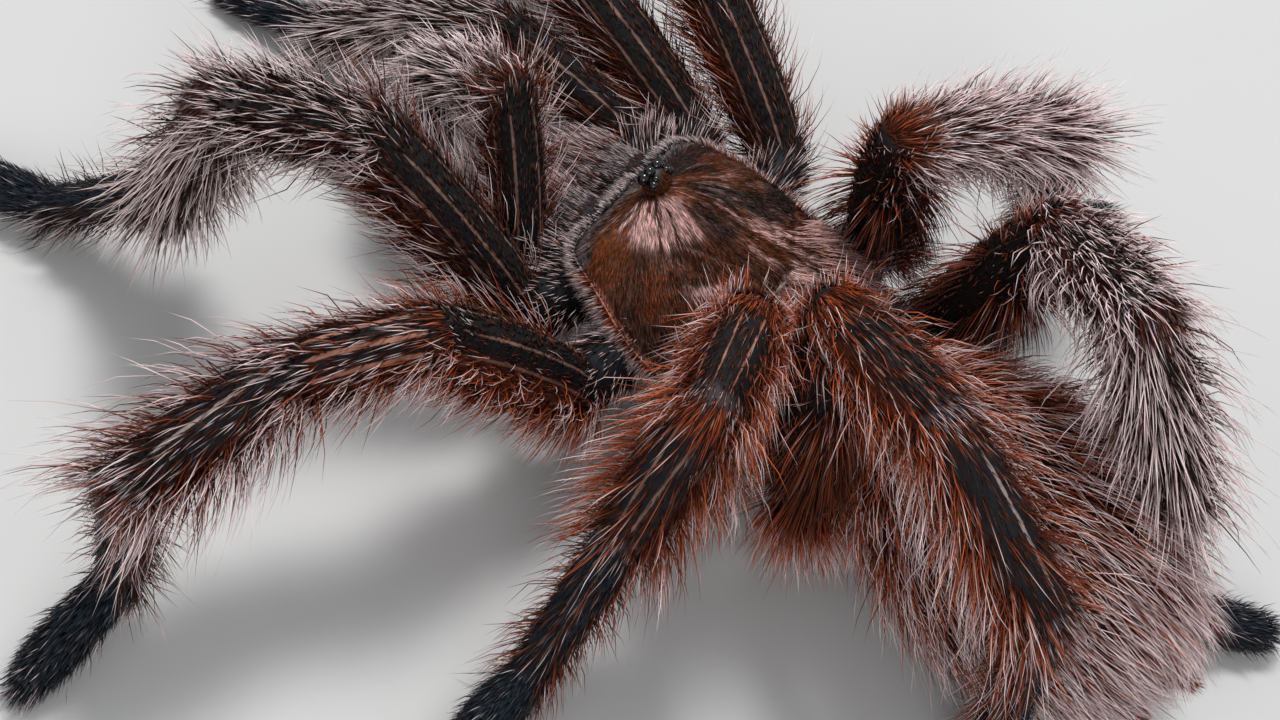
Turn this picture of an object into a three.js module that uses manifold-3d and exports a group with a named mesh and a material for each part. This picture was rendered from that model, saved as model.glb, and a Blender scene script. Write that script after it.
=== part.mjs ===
import * as THREE from 'three';
import { mergeVertices } from 'three/addons/utils/BufferGeometryUtils.js';
import Module from 'manifold-3d';

// Chilean rose tarantula, adult female, at rest on a flat floor. Millimetres, +Z up, head towards -Y,
// so its right side is -X. Every solid reaches out to the tips of the coat over that part of the body.

const wasm = await Module();
wasm.setup();

// ---- driving dimensions ----

const GAP = 0.3;              // clear space between neighbouring solids
const LIMB_SIDES = 8;         // facets round a limb
const ANKLE_HEIGHT = 2.8;     // axis height where metatarsus meets tarsus
const TOE_HEIGHT = 1.4;       // axis height at the tip of a tarsus, lower than its radius: a flat forms
const CAP = 0.8;              // how far a rounded end reaches past its joint, in radii

const CARAPACE = {
  frontReach: 10.3,
  rearReach: 11.9,
  widestForward: 1.8,
  halfWidth: 9.3,
  frontNarrowing: 0.22,
  frontSquareness: 6,
  rearSquareness: 2.4,
  underside: 7.9,
  rim: 9.0,
  frontLift: 2.2,             // how much higher the edge runs above the chelicerae than at the sides
  crown: 13.4,
  sideFullness: 2.6,
  frontFullness: 5.6,
  headRise: 1.3,
  headForward: 6.6,
  headSpread: 4.4,
  foveaDepth: 0.8,
  foveaForward: -2.4,
  foveaSpread: 1.5,
};

const TUBERCLE = { forward: 8.4, base: 14.2, wide: 1.3, long: 1.05, high: 1.45 };

// Eyes on the tubercle: side and forward offset from its centre, height and radius, one of each pair.
const EYES = {
  anteriorMedian: { side: 0.44, forward: 0.54, up: 1.08, radius: 0.44 },
  anteriorLateral: { side: 0.98, forward: 0.58, up: 0.62, radius: 0.5 },
  posteriorMedian: { side: 0.64, forward: -0.3, up: 1.12, radius: 0.27 },
  posteriorLateral: { side: 1.02, forward: -0.42, up: 0.74, radius: 0.37 },
};

const CHELICERA = {
  rootSide: 2.95, rootForward: 9.4, rootUp: 9.4,
  tipSide: 2.55, tipForward: 17.4, tipUp: 6.2,
  wide: 2.75, deep: 3.3,
};

const FANG = {
  side: 2.35, rootForward: 18.6, rootUp: 4.6,
  bendForward: 17.4, bendUp: 2.6,
  tipForward: 13.6, tipUp: 2.5,
  rootRadius: 0.95, tipRadius: 0.3,
};

const STERNUM = { halfWidth: 6.2, halfLength: 10.2, halfHeight: 2.9, up: 6.6 };
const COXA = {
  rootSide: 3.6, rootUp: 6.6, rootRadius: 2.9, tipRadius: 2.8,
  reach: 0.72,                // its root is this share of the hip's distance ahead or behind
  widthRatio: 0.86,
};

const ABDOMEN = {
  side: 3.1, forward: -23.6, up: 9.9,
  halfLength: 14.6, halfWidth: 10.5, halfHeight: 9.3,
  swing: 13,                  // degrees that its rear is swung to the left
  rearFullness: 0.12,
};
const PEDICEL = { forward: -9.6, up: 7.2, radius: 1.7 };
const SPINNERET = { spread: 1.25, length: 4.6, rise: 14, splay: 16, rootRadius: 1.0, tipRadius: 0.5 };

// Where each femur leaves its trochanter on the left side. The right side mirrors it.
const HIPS = {
  palp: { side: 7.2, forward: 13.0, up: 7.8 },
  leg1: { side: 10.6, forward: 10.4, up: 8.0 },
  leg2: { side: 13.0, forward: 4.0, up: 8.0 },
  leg3: { side: 12.7, forward: -4.6, up: 7.4 },
  leg4: { side: 9.4, forward: -12.0, up: 7.4 },
};

// Length of each segment between its joints, from the hip outwards.
const LENGTHS = {
  palp: { femur: 12.4, patella: 7.4, tibia: 8.4, tarsus: 8.6 },
  leg1: { femur: 16.4, patella: 9.6, tibia: 12.2, metatarsus: 11.0, tarsus: 8.0 },
  leg2: { femur: 15.2, patella: 9.0, tibia: 11.0, metatarsus: 10.8, tarsus: 7.8 },
  leg3: { femur: 13.4, patella: 8.0, tibia: 9.8, metatarsus: 12.2, tarsus: 7.8 },
  leg4: { femur: 16.6, patella: 9.2, tibia: 13.4, metatarsus: 15.4, tarsus: 8.6 },
};

// Radius of each segment over its coat, at its start, middle and end, and its width over its depth.
const GIRTHS = {
  femur: { radii: [2.9, 3.9, 3.8], widthRatio: 1.08 },
  patella: { radii: [3.6, 3.8, 3.9], widthRatio: 1.06 },
  tibia: { radii: [3.8, 4.2, 3.9], widthRatio: 1.16 },
  metatarsus: { radii: [3.3, 3.1, 2.7], widthRatio: 1.06 },
  tarsus: { radii: [2.3, 2.2, 1.9], widthRatio: 1.05 },
};
const GIRTH_SCALE = { palp: 0.78, leg1: 1, leg2: 0.97, leg3: 1.0, leg4: 1.05 };

// Pose in degrees: heading from straight ahead towards the limb's own side, and rise above level.
// The foot keeps the tibia's heading unless it has its own, and slopes down to its ankle and toe.
const POSE = {
  palp_right: { femur: [-9, 18], patella: [-11, -28], tibia: [-11, 0] },
  palp_left: { femur: [-28, 61], patella: [-8, -34], tibia: [5, -66] },
  leg1_right: { femur: [3, 24], patella: [3, 6], tibia: [4, -25] },
  leg1_left: { femur: [15, 41], patella: [46, 17], tibia: [6, -74] },
  leg2_right: { femur: [18, 31], patella: [19, 2], tibia: [20, -29] },
  leg2_left: { femur: [57, 42], patella: [57, -5], tibia: [77, -12] },
  leg3_right: { femur: [110, 104], patella: [117, -13], tibia: [120, -23] },
  leg3_left: { femur: [104, 102], patella: [103, 9], tibia: [87, -60] },
  leg4_right: { femur: [204, 76], patella: [218, 24], tibia: [192, -48] },
  leg4_left: { femur: [160, 104], patella: [160, 8], tibia: [171, -31] },
};
const FOOT_HEADINGS = { leg1_left: 14, leg2_left: 88, leg4_right: 146 };
const ANKLE_HEIGHTS = { palp_left: 4.4, leg2_left: 4.2 };

const SIDES = { right: -1, left: 1 };

// ---- materials ----

function paint(colour, roughness) {
  return new THREE.MeshStandardMaterial({ color: colour, roughness: roughness, metalness: 0 });
}

const MATERIALS = {
  carapace: paint(0x5a2f22, 0.45),
  eyes: paint(0x0c0a0a, 0.12),
  chelicerae: paint(0x8d7268, 0.7),
  fangs: paint(0x120c0b, 0.25),
  underside: paint(0x2b2020, 0.85),
  abdomen: paint(0x7a4231, 0.9),
  femur: paint(0x33211f, 0.85),
  patella: paint(0x6f5a58, 0.85),
  tibia: paint(0x8a5647, 0.85),
  metatarsus: paint(0x4b4648, 0.85),
  tarsus: paint(0x2c3036, 0.85),
};

// ---- geometry helpers ----

const radians = THREE.MathUtils.degToRad;

// A point given as the animal sees it: to its left, ahead of it and up.
function at(side, forward, up) {
  return new THREE.Vector3(side, -forward, up);
}

function direction(sideSign, heading, rise) {
  const turn = radians(heading);
  const lift = radians(rise);
  return at(sideSign * Math.sin(turn) * Math.cos(lift), Math.cos(turn) * Math.cos(lift), Math.sin(lift));
}

function toSolid(geometry) {
  const bare = geometry.clone();
  bare.deleteAttribute('normal');
  bare.deleteAttribute('uv');
  const merged = mergeVertices(bare, 1e-4);
  const mesh = new wasm.Mesh({
    numProp: 3,
    vertProperties: new Float32Array(merged.attributes.position.array),
    triVerts: new Uint32Array(merged.index.array),
  });
  return new wasm.Manifold(mesh);
}

function toGeometry(solid) {
  const mesh = solid.getMesh();
  const geometry = new THREE.BufferGeometry();
  geometry.setAttribute('position', new THREE.BufferAttribute(new Float32Array(mesh.vertProperties), 3));
  geometry.setIndex(new THREE.BufferAttribute(new Uint32Array(mesh.triVerts), 1));
  geometry.computeVertexNormals();
  return geometry;
}

// A closed skin over rings of points, each ring seen anticlockwise from the end it leads to.
function skinRings(rings, startPoint, endPoint) {
  const sides = rings[0].length;
  const points = [startPoint, ...rings.flat(), endPoint];
  const last = points.length - 1;
  const faces = [];
  for (let side = 0; side < sides; side += 1) {
    const next = (side + 1) % sides;
    faces.push(0, 1 + next, 1 + side);
    for (let ring = 0; ring + 1 < rings.length; ring += 1) {
      const low = 1 + ring * sides;
      const high = low + sides;
      faces.push(low + side, low + next, high + next);
      faces.push(low + side, high + next, high + side);
    }
    faces.push(last - sides + side, last - sides + next, last);
  }
  const geometry = new THREE.BufferGeometry().setFromPoints(points);
  geometry.setIndex(faces);
  return geometry;
}

// A round bar along a curve with rounded ends. stations holds [share of the curve, radius].
function bar(curve, stations, widthRatio, grow, sides) {
  const rings = [];
  const level = new THREE.Vector3(0, 0, 1);
  function ring(share, radius, offset) {
    const along = curve.getTangentAt(share).normalize();
    const steep = Math.abs(along.z) > 0.98;
    const reference = steep ? new THREE.Vector3(0, 1, 0) : level;
    const across = new THREE.Vector3().crossVectors(along, reference).normalize();
    const upward = new THREE.Vector3().crossVectors(across, along);
    const centre = curve.getPointAt(share).addScaledVector(along, offset);
    const points = [];
    for (let side = 0; side < sides; side += 1) {
      const angle = (side / sides) * 2 * Math.PI;
      const point = centre.clone();
      point.addScaledVector(across, Math.cos(angle) * (radius * widthRatio + grow));
      point.addScaledVector(upward, -Math.sin(angle) * (radius + grow));
      points.push(point);
    }
    return { points, centre };
  }
  const first = stations[0][1];
  const final = stations[stations.length - 1][1];
  rings.push(ring(0, first * 0.66, -first * CAP * 0.7 - grow).points);
  for (const [share, radius] of stations) {
    rings.push(ring(share, radius, 0).points);
  }
  rings.push(ring(1, final * 0.66, final * CAP * 0.7 + grow).points);
  const start = ring(0, first, -first * CAP - grow).centre;
  const end = ring(1, final, final * CAP + grow).centre;
  return toSolid(skinRings(rings, start, end));
}

function straightBar(start, end, radii, widthRatio, grow, sides = LIMB_SIDES) {
  const stations = radii.map((radius, index) => [index / (radii.length - 1), radius]);
  return bar(new THREE.LineCurve3(start, end), stations, widthRatio, grow, sides);
}

// Everything on the far side of a plane.
function beyond(point, normal) {
  const size = 300;
  const block = new THREE.BoxGeometry(size, size, size);
  block.translate(0, 0, size / 2);
  block.applyQuaternion(new THREE.Quaternion().setFromUnitVectors(new THREE.Vector3(0, 0, 1), normal));
  block.translate(point.x, point.y, point.z);
  return toSolid(block);
}

function ellipsoid(centre, half, columns, rows) {
  const ball = new THREE.SphereGeometry(1, columns, rows);
  ball.scale(half.x, half.y, half.z);
  ball.translate(centre.x, centre.y, centre.z);
  return toSolid(ball);
}

// ---- placing solids clear of each other ----

const group = new THREE.Group();
const placed = [];
const floor = beyond(new THREE.Vector3(0, 0, 0), new THREE.Vector3(0, 0, -1));

function largest(solid) {
  return solid.decompose().reduce((best, part) => (part.volume() > best.volume() ? part : best));
}

// shape(grow) gives the solid with its surface moved out by grow. The solids placed earlier keep
// their room, so this one is cut back from each of them by the gap.
function place(name, material, shape) {
  let solid = shape(0).subtract(floor);
  for (const earlier of placed) {
    solid = solid.subtract(earlier);
  }
  placed.push(shape(GAP));
  const geometry = toGeometry(largest(solid));
  geometry.computeBoundingBox();
  const centre = geometry.boundingBox.getCenter(new THREE.Vector3());
  geometry.translate(-centre.x, -centre.y, -centre.z);
  const mesh = new THREE.Mesh(geometry, MATERIALS[material]);
  mesh.name = name;
  mesh.position.copy(centre);
  group.add(mesh);
}

// ---- carapace ----

function signedPower(value, power) {
  return Math.sign(value) * Math.abs(value) ** power;
}

function bump(distance, spread) {
  return Math.exp(-((distance / spread) ** 2));
}

function carapaceRim(angle, grow) {
  const power = 2 / (Math.cos(angle) > 0 ? CARAPACE.frontSquareness : CARAPACE.rearSquareness);
  const forward = signedPower(Math.cos(angle), power);
  const side = signedPower(Math.sin(angle), power);
  const narrowing = 1 - CARAPACE.frontNarrowing * THREE.MathUtils.smoothstep(forward, 0, 1);
  const reach = forward > 0
    ? CARAPACE.frontReach - CARAPACE.widestForward
    : CARAPACE.rearReach + CARAPACE.widestForward;
  return {
    forward: CARAPACE.widestForward + forward * (reach + grow),
    side: side * narrowing * (CARAPACE.halfWidth + grow),
  };
}

function carapaceLift(forward) {
  return CARAPACE.frontLift * THREE.MathUtils.smoothstep(forward, -2, 9);
}

function carapaceHeight(share, side, forward) {
  const frontness = THREE.MathUtils.smoothstep(forward, 0, 9);
  const fullness = THREE.MathUtils.lerp(CARAPACE.sideFullness, CARAPACE.frontFullness, frontness);
  const dome = (1 - share ** fullness) ** 0.75;
  const head = bump(forward - CARAPACE.headForward, CARAPACE.headSpread) * bump(side, CARAPACE.headSpread);
  const fovea = bump(Math.hypot(side, forward - CARAPACE.foveaForward), CARAPACE.foveaSpread);
  const relief = dome * (CARAPACE.headRise * head - CARAPACE.foveaDepth * fovea);
  const rim = CARAPACE.rim + carapaceLift(forward);
  return rim + (CARAPACE.crown - rim) * dome + relief;
}

function carapace(grow) {
  const spokes = 24;
  const shares = [1, 0.93, 0.78, 0.54, 0.26];
  const rings = [];
  for (const share of [1, ...shares]) {
    const lower = rings.length === 0;
    const ring = [];
    for (let spoke = 0; spoke < spokes; spoke += 1) {
      const rim = carapaceRim((spoke / spokes) * 2 * Math.PI, grow);
      const side = rim.side * share;
      const forward = rim.forward * share;
      const low = CARAPACE.underside + carapaceLift(forward) - grow;
      const high = carapaceHeight(share, side, forward) + grow;
      ring.push(at(side, forward, lower ? low : high));
    }
    rings.push(ring);
  }
  const under = at(0, 0, CARAPACE.underside - grow);
  const top = at(0, 0, carapaceHeight(0, 0, 0) + grow);
  return toSolid(skinRings(rings, under, top));
}

// ---- eyes ----

function eyeTubercle(grow) {
  const centre = at(0, TUBERCLE.forward, TUBERCLE.base);
  const half = new THREE.Vector3(TUBERCLE.wide + grow, TUBERCLE.long + grow, TUBERCLE.high + grow);
  let solid = ellipsoid(centre, half, 8, 5);
  for (const eye of Object.values(EYES)) {
    for (const sign of Object.values(SIDES)) {
      const place = at(sign * eye.side, TUBERCLE.forward + eye.forward, TUBERCLE.base + eye.up);
      const reach = new THREE.Vector3(1, 1, 1).multiplyScalar(eye.radius + grow);
      solid = solid.add(ellipsoid(place, reach, 5, 4));
    }
  }
  return solid;
}

// ---- chelicerae and fangs ----

function chelicera(sign, grow) {
  const start = at(sign * CHELICERA.rootSide, CHELICERA.rootForward, CHELICERA.rootUp);
  const end = at(sign * CHELICERA.tipSide, CHELICERA.tipForward, CHELICERA.tipUp);
  const radii = [0.92, 1, 0.76].map((share) => share * CHELICERA.deep);
  const body = straightBar(start, end, radii, CHELICERA.wide / CHELICERA.deep, grow);
  const middle = at(sign * (GAP / 2 - grow), 0, 0);
  return body.subtract(beyond(middle, new THREE.Vector3(-sign, 0, 0)));
}

function fang(sign, grow) {
  const curve = new THREE.QuadraticBezierCurve3(
    at(sign * FANG.side, FANG.rootForward, FANG.rootUp),
    at(sign * FANG.side, FANG.bendForward, FANG.bendUp),
    at(sign * FANG.side, FANG.tipForward, FANG.tipUp),
  );
  const stations = [0, 0.33, 0.66, 1].map((share) => [
    share,
    THREE.MathUtils.lerp(FANG.rootRadius, FANG.tipRadius, share),
  ]);
  return bar(curve, stations, 1, grow, 6);
}

// ---- sternum, coxae and trochanters ----

function hip(limb, sign) {
  const place = HIPS[limb];
  return at(sign * place.side, place.forward, place.up);
}

function underside(grow) {
  const centre = at(0, 0, STERNUM.up);
  const half = new THREE.Vector3(
    STERNUM.halfWidth + grow,
    STERNUM.halfLength + grow,
    STERNUM.halfHeight + grow,
  );
  let solid = ellipsoid(centre, half, 8, 5);
  for (const limb of Object.keys(HIPS)) {
    for (const sign of Object.values(SIDES)) {
      const root = at(sign * COXA.rootSide, HIPS[limb].forward * COXA.reach, COXA.rootUp);
      const radii = [COXA.rootRadius, COXA.tipRadius];
      solid = solid.add(straightBar(root, hip(limb, sign), radii, COXA.widthRatio, grow, 6));
    }
  }
  return solid;
}

// ---- abdomen and spinnerets ----

const ABDOMEN_HEADING = 180 - ABDOMEN.swing;

function abdomen(grow) {
  const ball = new THREE.SphereGeometry(1, 14, 9);
  ball.rotateX(Math.PI / 2);
  const points = ball.attributes.position;
  for (let index = 0; index < points.count; index += 1) {
    const rearward = points.getY(index);
    const fullness = 1 + ABDOMEN.rearFullness * (rearward - 0.4 * rearward ** 2);
    points.setX(index, points.getX(index) * fullness);
    points.setZ(index, points.getZ(index) * fullness);
  }
  ball.scale(ABDOMEN.halfWidth + grow, ABDOMEN.halfLength + grow, ABDOMEN.halfHeight + grow);
  ball.rotateZ(-radians(ABDOMEN.swing));
  const centre = at(ABDOMEN.side, ABDOMEN.forward, ABDOMEN.up);
  ball.translate(centre.x, centre.y, centre.z);
  const stalkRadii = [PEDICEL.radius, PEDICEL.radius, PEDICEL.radius];
  const stalk = straightBar(at(0, PEDICEL.forward, PEDICEL.up), centre, stalkRadii, 1, grow, 6);
  return toSolid(ball).add(stalk);
}

function spinneret(sign, grow) {
  const rearward = direction(1, ABDOMEN_HEADING, 0);
  const sideways = new THREE.Vector3(-rearward.y, rearward.x, 0).multiplyScalar(sign);
  const start = at(ABDOMEN.side, ABDOMEN.forward, ABDOMEN.up - 2.2);
  start.addScaledVector(rearward, ABDOMEN.halfLength - 3.4);
  start.addScaledVector(sideways, SPINNERET.spread);
  const splay = radians(SPINNERET.splay);
  const heading = rearward.clone().multiplyScalar(Math.cos(splay)).addScaledVector(sideways, Math.sin(splay));
  heading.z = Math.tan(radians(SPINNERET.rise));
  const end = start.clone().addScaledVector(heading.normalize(), SPINNERET.length);
  const middle = (SPINNERET.rootRadius + SPINNERET.tipRadius) / 2;
  return straightBar(start, end, [SPINNERET.rootRadius, middle, SPINNERET.tipRadius], 1, grow, 6);
}

// ---- limbs ----

// The joints of one limb, from hip to toe.
function limbJoints(limb, sideName) {
  const sign = SIDES[sideName];
  const key = `${limb}_${sideName}`;
  const pose = POSE[key];
  const footHeading = FOOT_HEADINGS[key] ?? pose.tibia[0];
  const ankle = ANKLE_HEIGHTS[key] ?? ANKLE_HEIGHT;
  const names = Object.keys(LENGTHS[limb]);
  const joints = [hip(limb, sign)];
  names.forEach((name, index) => {
    const start = joints[index];
    const length = LENGTHS[limb][name];
    const heading = pose[name] ? pose[name][0] : footHeading;
    const fromEnd = names.length - 1 - index;
    const target = fromEnd === 0 ? TOE_HEIGHT * GIRTH_SCALE[limb] : ankle;
    const reach = THREE.MathUtils.clamp((target - start.z) / length, -0.999, 0.999);
    const rise = fromEnd < 2 ? THREE.MathUtils.radToDeg(Math.asin(reach)) : pose[name][1];
    joints.push(start.clone().addScaledVector(direction(sign, heading, rise), length));
  });
  return joints;
}

function segmentSolid(joints, index, limb, name, grow) {
  const girth = GIRTHS[name];
  const radii = girth.radii.map((radius) => radius * GIRTH_SCALE[limb]);
  const start = joints[index];
  const end = joints[index + 1];
  const along = end.clone().sub(start).normalize();
  let solid = straightBar(start, end, radii, girth.widthRatio, grow);
  if (index > 0) {
    const before = start.clone().sub(joints[index - 1]).normalize();
    const mitre = before.add(along).normalize();
    solid = solid.subtract(beyond(start.clone().addScaledVector(mitre, -grow), mitre.clone().negate()));
  }
  if (index + 2 < joints.length) {
    const after = joints[index + 2].clone().sub(end).normalize();
    const mitre = after.add(along).normalize();
    solid = solid.subtract(beyond(end.clone().addScaledVector(mitre, grow), mitre));
  }
  return solid;
}

function placeLimb(limb, sideName) {
  const joints = limbJoints(limb, sideName);
  Object.keys(LENGTHS[limb]).forEach((name, index) => {
    const shape = (grow) => segmentSolid(joints, index, limb, name, grow);
    place(`${limb}_${sideName}_${name}`, name, shape);
  });
}

// ---- assembly ----

place('carapace', 'carapace', carapace);
place('eye_tubercle', 'eyes', eyeTubercle);
place('sternum_and_coxae', 'underside', underside);
for (const [sideName, sign] of Object.entries(SIDES)) {
  place(`fang_${sideName}`, 'fangs', (grow) => fang(sign, grow));
}
for (const [sideName, sign] of Object.entries(SIDES)) {
  place(`chelicera_${sideName}`, 'chelicerae', (grow) => chelicera(sign, grow));
}
for (const [sideName, sign] of Object.entries(SIDES)) {
  place(`spinneret_${sideName}`, 'abdomen', (grow) => spinneret(sign, grow));
}
place('abdomen', 'abdomen', abdomen);
for (const limb of ['leg3', 'leg4', 'leg2', 'leg1', 'palp']) {
  for (const sideName of Object.keys(SIDES)) {
    placeLimb(limb, sideName);
  }
}

// The origin is the middle of the footprint, on the floor.
const box = new THREE.Box3().setFromObject(group);
const middle = box.getCenter(new THREE.Vector3());
group.position.set(-middle.x, -middle.y, -box.min.z);

export default group;
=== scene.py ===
import bpy
import numpy as np
from mathutils import Matrix, Vector


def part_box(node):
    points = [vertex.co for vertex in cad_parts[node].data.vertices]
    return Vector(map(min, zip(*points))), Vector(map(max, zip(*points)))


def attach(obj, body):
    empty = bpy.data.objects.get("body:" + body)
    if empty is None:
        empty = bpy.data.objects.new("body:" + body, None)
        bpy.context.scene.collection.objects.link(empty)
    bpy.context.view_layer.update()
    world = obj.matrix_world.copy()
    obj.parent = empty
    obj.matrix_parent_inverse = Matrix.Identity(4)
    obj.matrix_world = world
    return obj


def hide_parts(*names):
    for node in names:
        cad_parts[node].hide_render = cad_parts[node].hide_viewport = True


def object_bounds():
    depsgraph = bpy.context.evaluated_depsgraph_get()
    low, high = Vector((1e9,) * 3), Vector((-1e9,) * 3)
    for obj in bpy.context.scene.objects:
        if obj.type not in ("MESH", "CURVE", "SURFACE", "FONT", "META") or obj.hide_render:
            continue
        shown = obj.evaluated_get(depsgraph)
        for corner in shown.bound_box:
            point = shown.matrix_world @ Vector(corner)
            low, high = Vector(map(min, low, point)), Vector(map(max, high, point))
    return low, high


# Chilean rose tarantula. Shapes are worked out in millimetres as the animal sees them: x to its left,
# y backwards (it faces -Y), z up from the floor. to_frame() moves them into the frame, in metres.
# Tables give angles in degrees, and a share runs from 0 to 1 along a limb or out to the shell's rim.

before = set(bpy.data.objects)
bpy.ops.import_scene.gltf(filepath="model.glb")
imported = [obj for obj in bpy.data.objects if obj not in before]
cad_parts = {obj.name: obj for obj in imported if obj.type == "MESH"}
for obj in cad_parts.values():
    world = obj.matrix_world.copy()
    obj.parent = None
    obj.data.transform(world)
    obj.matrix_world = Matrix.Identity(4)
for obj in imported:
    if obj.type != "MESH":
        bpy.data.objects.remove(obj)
cad_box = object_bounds()
MM = 0.001
UP = np.array([0.0, 0.0, 1.0])
SIDES = {"right": -1, "left": 1}
rng = np.random.default_rng(11)


class Sizes:
    """Numbers and ranges under one name."""

    def __init__(self, **values):
        vars(self).update(values)


# ------------ sizes and pose, as in the solids

SHELL = Sizes(
    front=10.3, rear=11.9, widest=1.8, half_width=9.3,
    narrowing=0.22, front_square=9.0, rear_square=2.4, flange=0.98,
    underside=7.9, rim=8.8, front_lift=2.2, crown=13.2, head_rise=1.3, head_forward=6.6,
    head_spread=4.4, fovea_depth=0.4, fovea_forward=-2.4, fovea_spread=1.3,
)
shell_low, shell_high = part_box("carapace")
ORIGIN = np.array([(shell_low[0] + shell_high[0]) / 2 / MM, shell_low[1] / MM + SHELL.front, 0.0])
HIPS = {
    "palp": (7.2, 13.0, 7.8),
    "leg1": (10.6, 10.4, 8.0),
    "leg2": (13.0, 4.0, 8.0),
    "leg3": (12.7, -4.6, 7.4),
    "leg4": (9.4, -12.0, 7.4),
}
LENGTHS = {
    "palp": {"femur": 12.4, "patella": 7.4, "tibia": 8.4, "tarsus": 8.6},
    "leg1": {"femur": 16.4, "patella": 9.6, "tibia": 12.2, "metatarsus": 11.0, "tarsus": 8.0},
    "leg2": {"femur": 15.2, "patella": 9.0, "tibia": 11.0, "metatarsus": 10.8, "tarsus": 7.8},
    "leg3": {"femur": 13.4, "patella": 8.0, "tibia": 9.8, "metatarsus": 12.2, "tarsus": 7.8},
    "leg4": {"femur": 16.6, "patella": 9.2, "tibia": 13.4, "metatarsus": 15.4, "tarsus": 8.6},
}
# Heading from straight ahead, outwards, and rise of each segment. The last two end at set heights.
POSE = {
    "palp_right": {"femur": (-9, 18), "patella": (-11, -28), "tibia": (-11, 0)},
    "palp_left": {"femur": (-28, 61), "patella": (-8, -34), "tibia": (5, -66)},
    "leg1_right": {"femur": (3, 24), "patella": (3, 6), "tibia": (4, -25)},
    "leg1_left": {"femur": (15, 41), "patella": (46, 17), "tibia": (6, -74)},
    "leg2_right": {"femur": (18, 31), "patella": (19, 2), "tibia": (20, -29)},
    "leg2_left": {"femur": (57, 42), "patella": (57, -5), "tibia": (77, -12)},
    "leg3_right": {"femur": (110, 104), "patella": (117, -13), "tibia": (120, -23)},
    "leg3_left": {"femur": (104, 102), "patella": (103, 9), "tibia": (87, -60)},
    "leg4_right": {"femur": (204, 76), "patella": (218, 24), "tibia": (192, -48)},
    "leg4_left": {"femur": (160, 104), "patella": (160, 8), "tibia": (171, -31)},
}
FOOT_HEADINGS = {"leg1_left": 14, "leg2_left": 88, "leg4_right": 146}
ANKLE_HEIGHT = 2.8
ANKLE_HEIGHTS = {"palp_left": 4.4, "leg2_left": 4.2}
TOE_HEIGHT = 1.4
GIRTH_SCALE = {"palp": 0.78, "leg1": 1.0, "leg2": 0.97, "leg3": 1.0, "leg4": 1.05}
ABDOMEN = Sizes(side=3.1, forward=-23.6, up=9.9, half=(8.3, 12.5, 7.3), swing=13, rear=0.12)
TUBERCLE = Sizes(forward=8.4, base=14.1, half=(1.05, 0.85, 1.0))
# Each pair of eyes: sideways, forwards and up from the middle of the mound, and radius.
EYES = (
    (0.42, 0.42, 0.84, 0.44), (0.86, 0.48, 0.44, 0.48), (0.60, -0.24, 0.80, 0.27), (0.90, -0.34, 0.50, 0.38),
)

# ------------ sizes of the skin and what stands on it

# Radius of the bare limb under its coat at five places along each segment, and width over depth.
BARE = {
    "femur": ((1.95, 2.5, 2.65, 2.55, 2.1), 0.86),
    "patella": ((1.85, 2.15, 2.25, 2.2, 1.85), 0.95),
    "tibia": ((1.75, 2.05, 2.05, 1.95, 1.65), 0.97),
    "metatarsus": ((1.45, 1.5, 1.42, 1.32, 1.15), 1.0),
    "tarsus": ((1.1, 1.3, 1.38, 1.3, 1.0), 1.1),
}
CAP = 0.75  # length of a rounded end over its radius
COXA = Sizes(side=3.2, forward=0.72, up=6.6, radii=(2.3, 2.35, 2.15), flatness=0.86)
CHELICERA = Sizes(
    root=(2.75, 10.6, 8.9), tip=(2.55, 17.4, 6.2), drawn_in=0.6, wide=2.35, deep=2.7,
    fullness=(0.92, 1.02, 1.0, 0.74),
)
SEAM_RADII = (2.1, 2.2, 2.0, 1.6)  # the hair between the chelicerae
FANG = Sizes(side=2.35, line=((18.3, 4.6), (17.6, 2.2), (13.9, 2.5)), radii=(0.9, 0.06), caps=(0.3, 0.1))
SPINNERET = Sizes(
    behind=10.4, below=2.2, apart=1.15, spread=0.28, rise=0.25, length=4.6,
    radii=(0.95, 0.8, 0.45),
)
PEDICEL = Sizes(front=(0, -7.5, 7.2), behind=11.0, below=1.8, radii=(1.4, 1.3, 1.5))
STERNUM = Sizes(up=6.3, half=(5.6, 9.4, 2.3))
CLAW = Sizes(
    ahead=0.3, apart=0.36, under=0.1, reach=1.25, drop=0.75, splay=0.15, lowest=0.12,
    radii=(0.2, 0.15, 0.05), flatness=0.8,
)
FINENESS = {"mound": (24, 36), "eye": (16, 24), "sternum": (20, 32), "abdomen": (28, 44)}
SKIN = Sizes(voxel=0.36, smoothing=0.5, passes=5)

# The coat is rustier on the hind legs and greyer on the front ones, and pales towards each foot.
RUST = {
    "palp_right": 0.40, "palp_left": 0.45, "leg1_right": 0.40, "leg1_left": 0.45,
    "leg2_right": 0.50, "leg2_left": 0.80, "leg3_right": 0.85, "leg3_left": 1.00,
    "leg4_right": 0.75, "leg4_left": 1.00,
}
FADE = {"femur": 1.0, "patella": 0.9, "tibia": 0.7, "metatarsus": 0.5, "tarsus": 0.1}
# How thickly combed, grey-white hair covers the knees and shins.
FROST = {
    "palp_right": 0.8, "palp_left": 1.0, "leg1_right": 0.35, "leg1_left": 0.62,
    "leg2_right": 0.35, "leg2_left": 0.45, "leg3_right": 1.0, "leg3_left": 0.05,
    "leg4_right": 1.0, "leg4_left": 0.15,
}
HIND = ("leg3", "leg4")
# How far round from its back a segment stays black, in radians: the flanks too on the hind thighs.
BLACK_BACK = 0.75
BLACK_THIGH = {"leg3": 1.65, "leg4": 2.7}


def at(side, forward, up):
    return np.array([side, -forward, up], float)


def unit(v):
    return v / np.linalg.norm(v, axis=-1, keepdims=True)


def full_turn(steps):
    return np.arange(steps) / steps * 2 * np.pi


def smoothstep(value, low, high):
    t = np.clip((value - low) / (high - low), 0, 1)
    return t * t * (3 - 2 * t)


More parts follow.
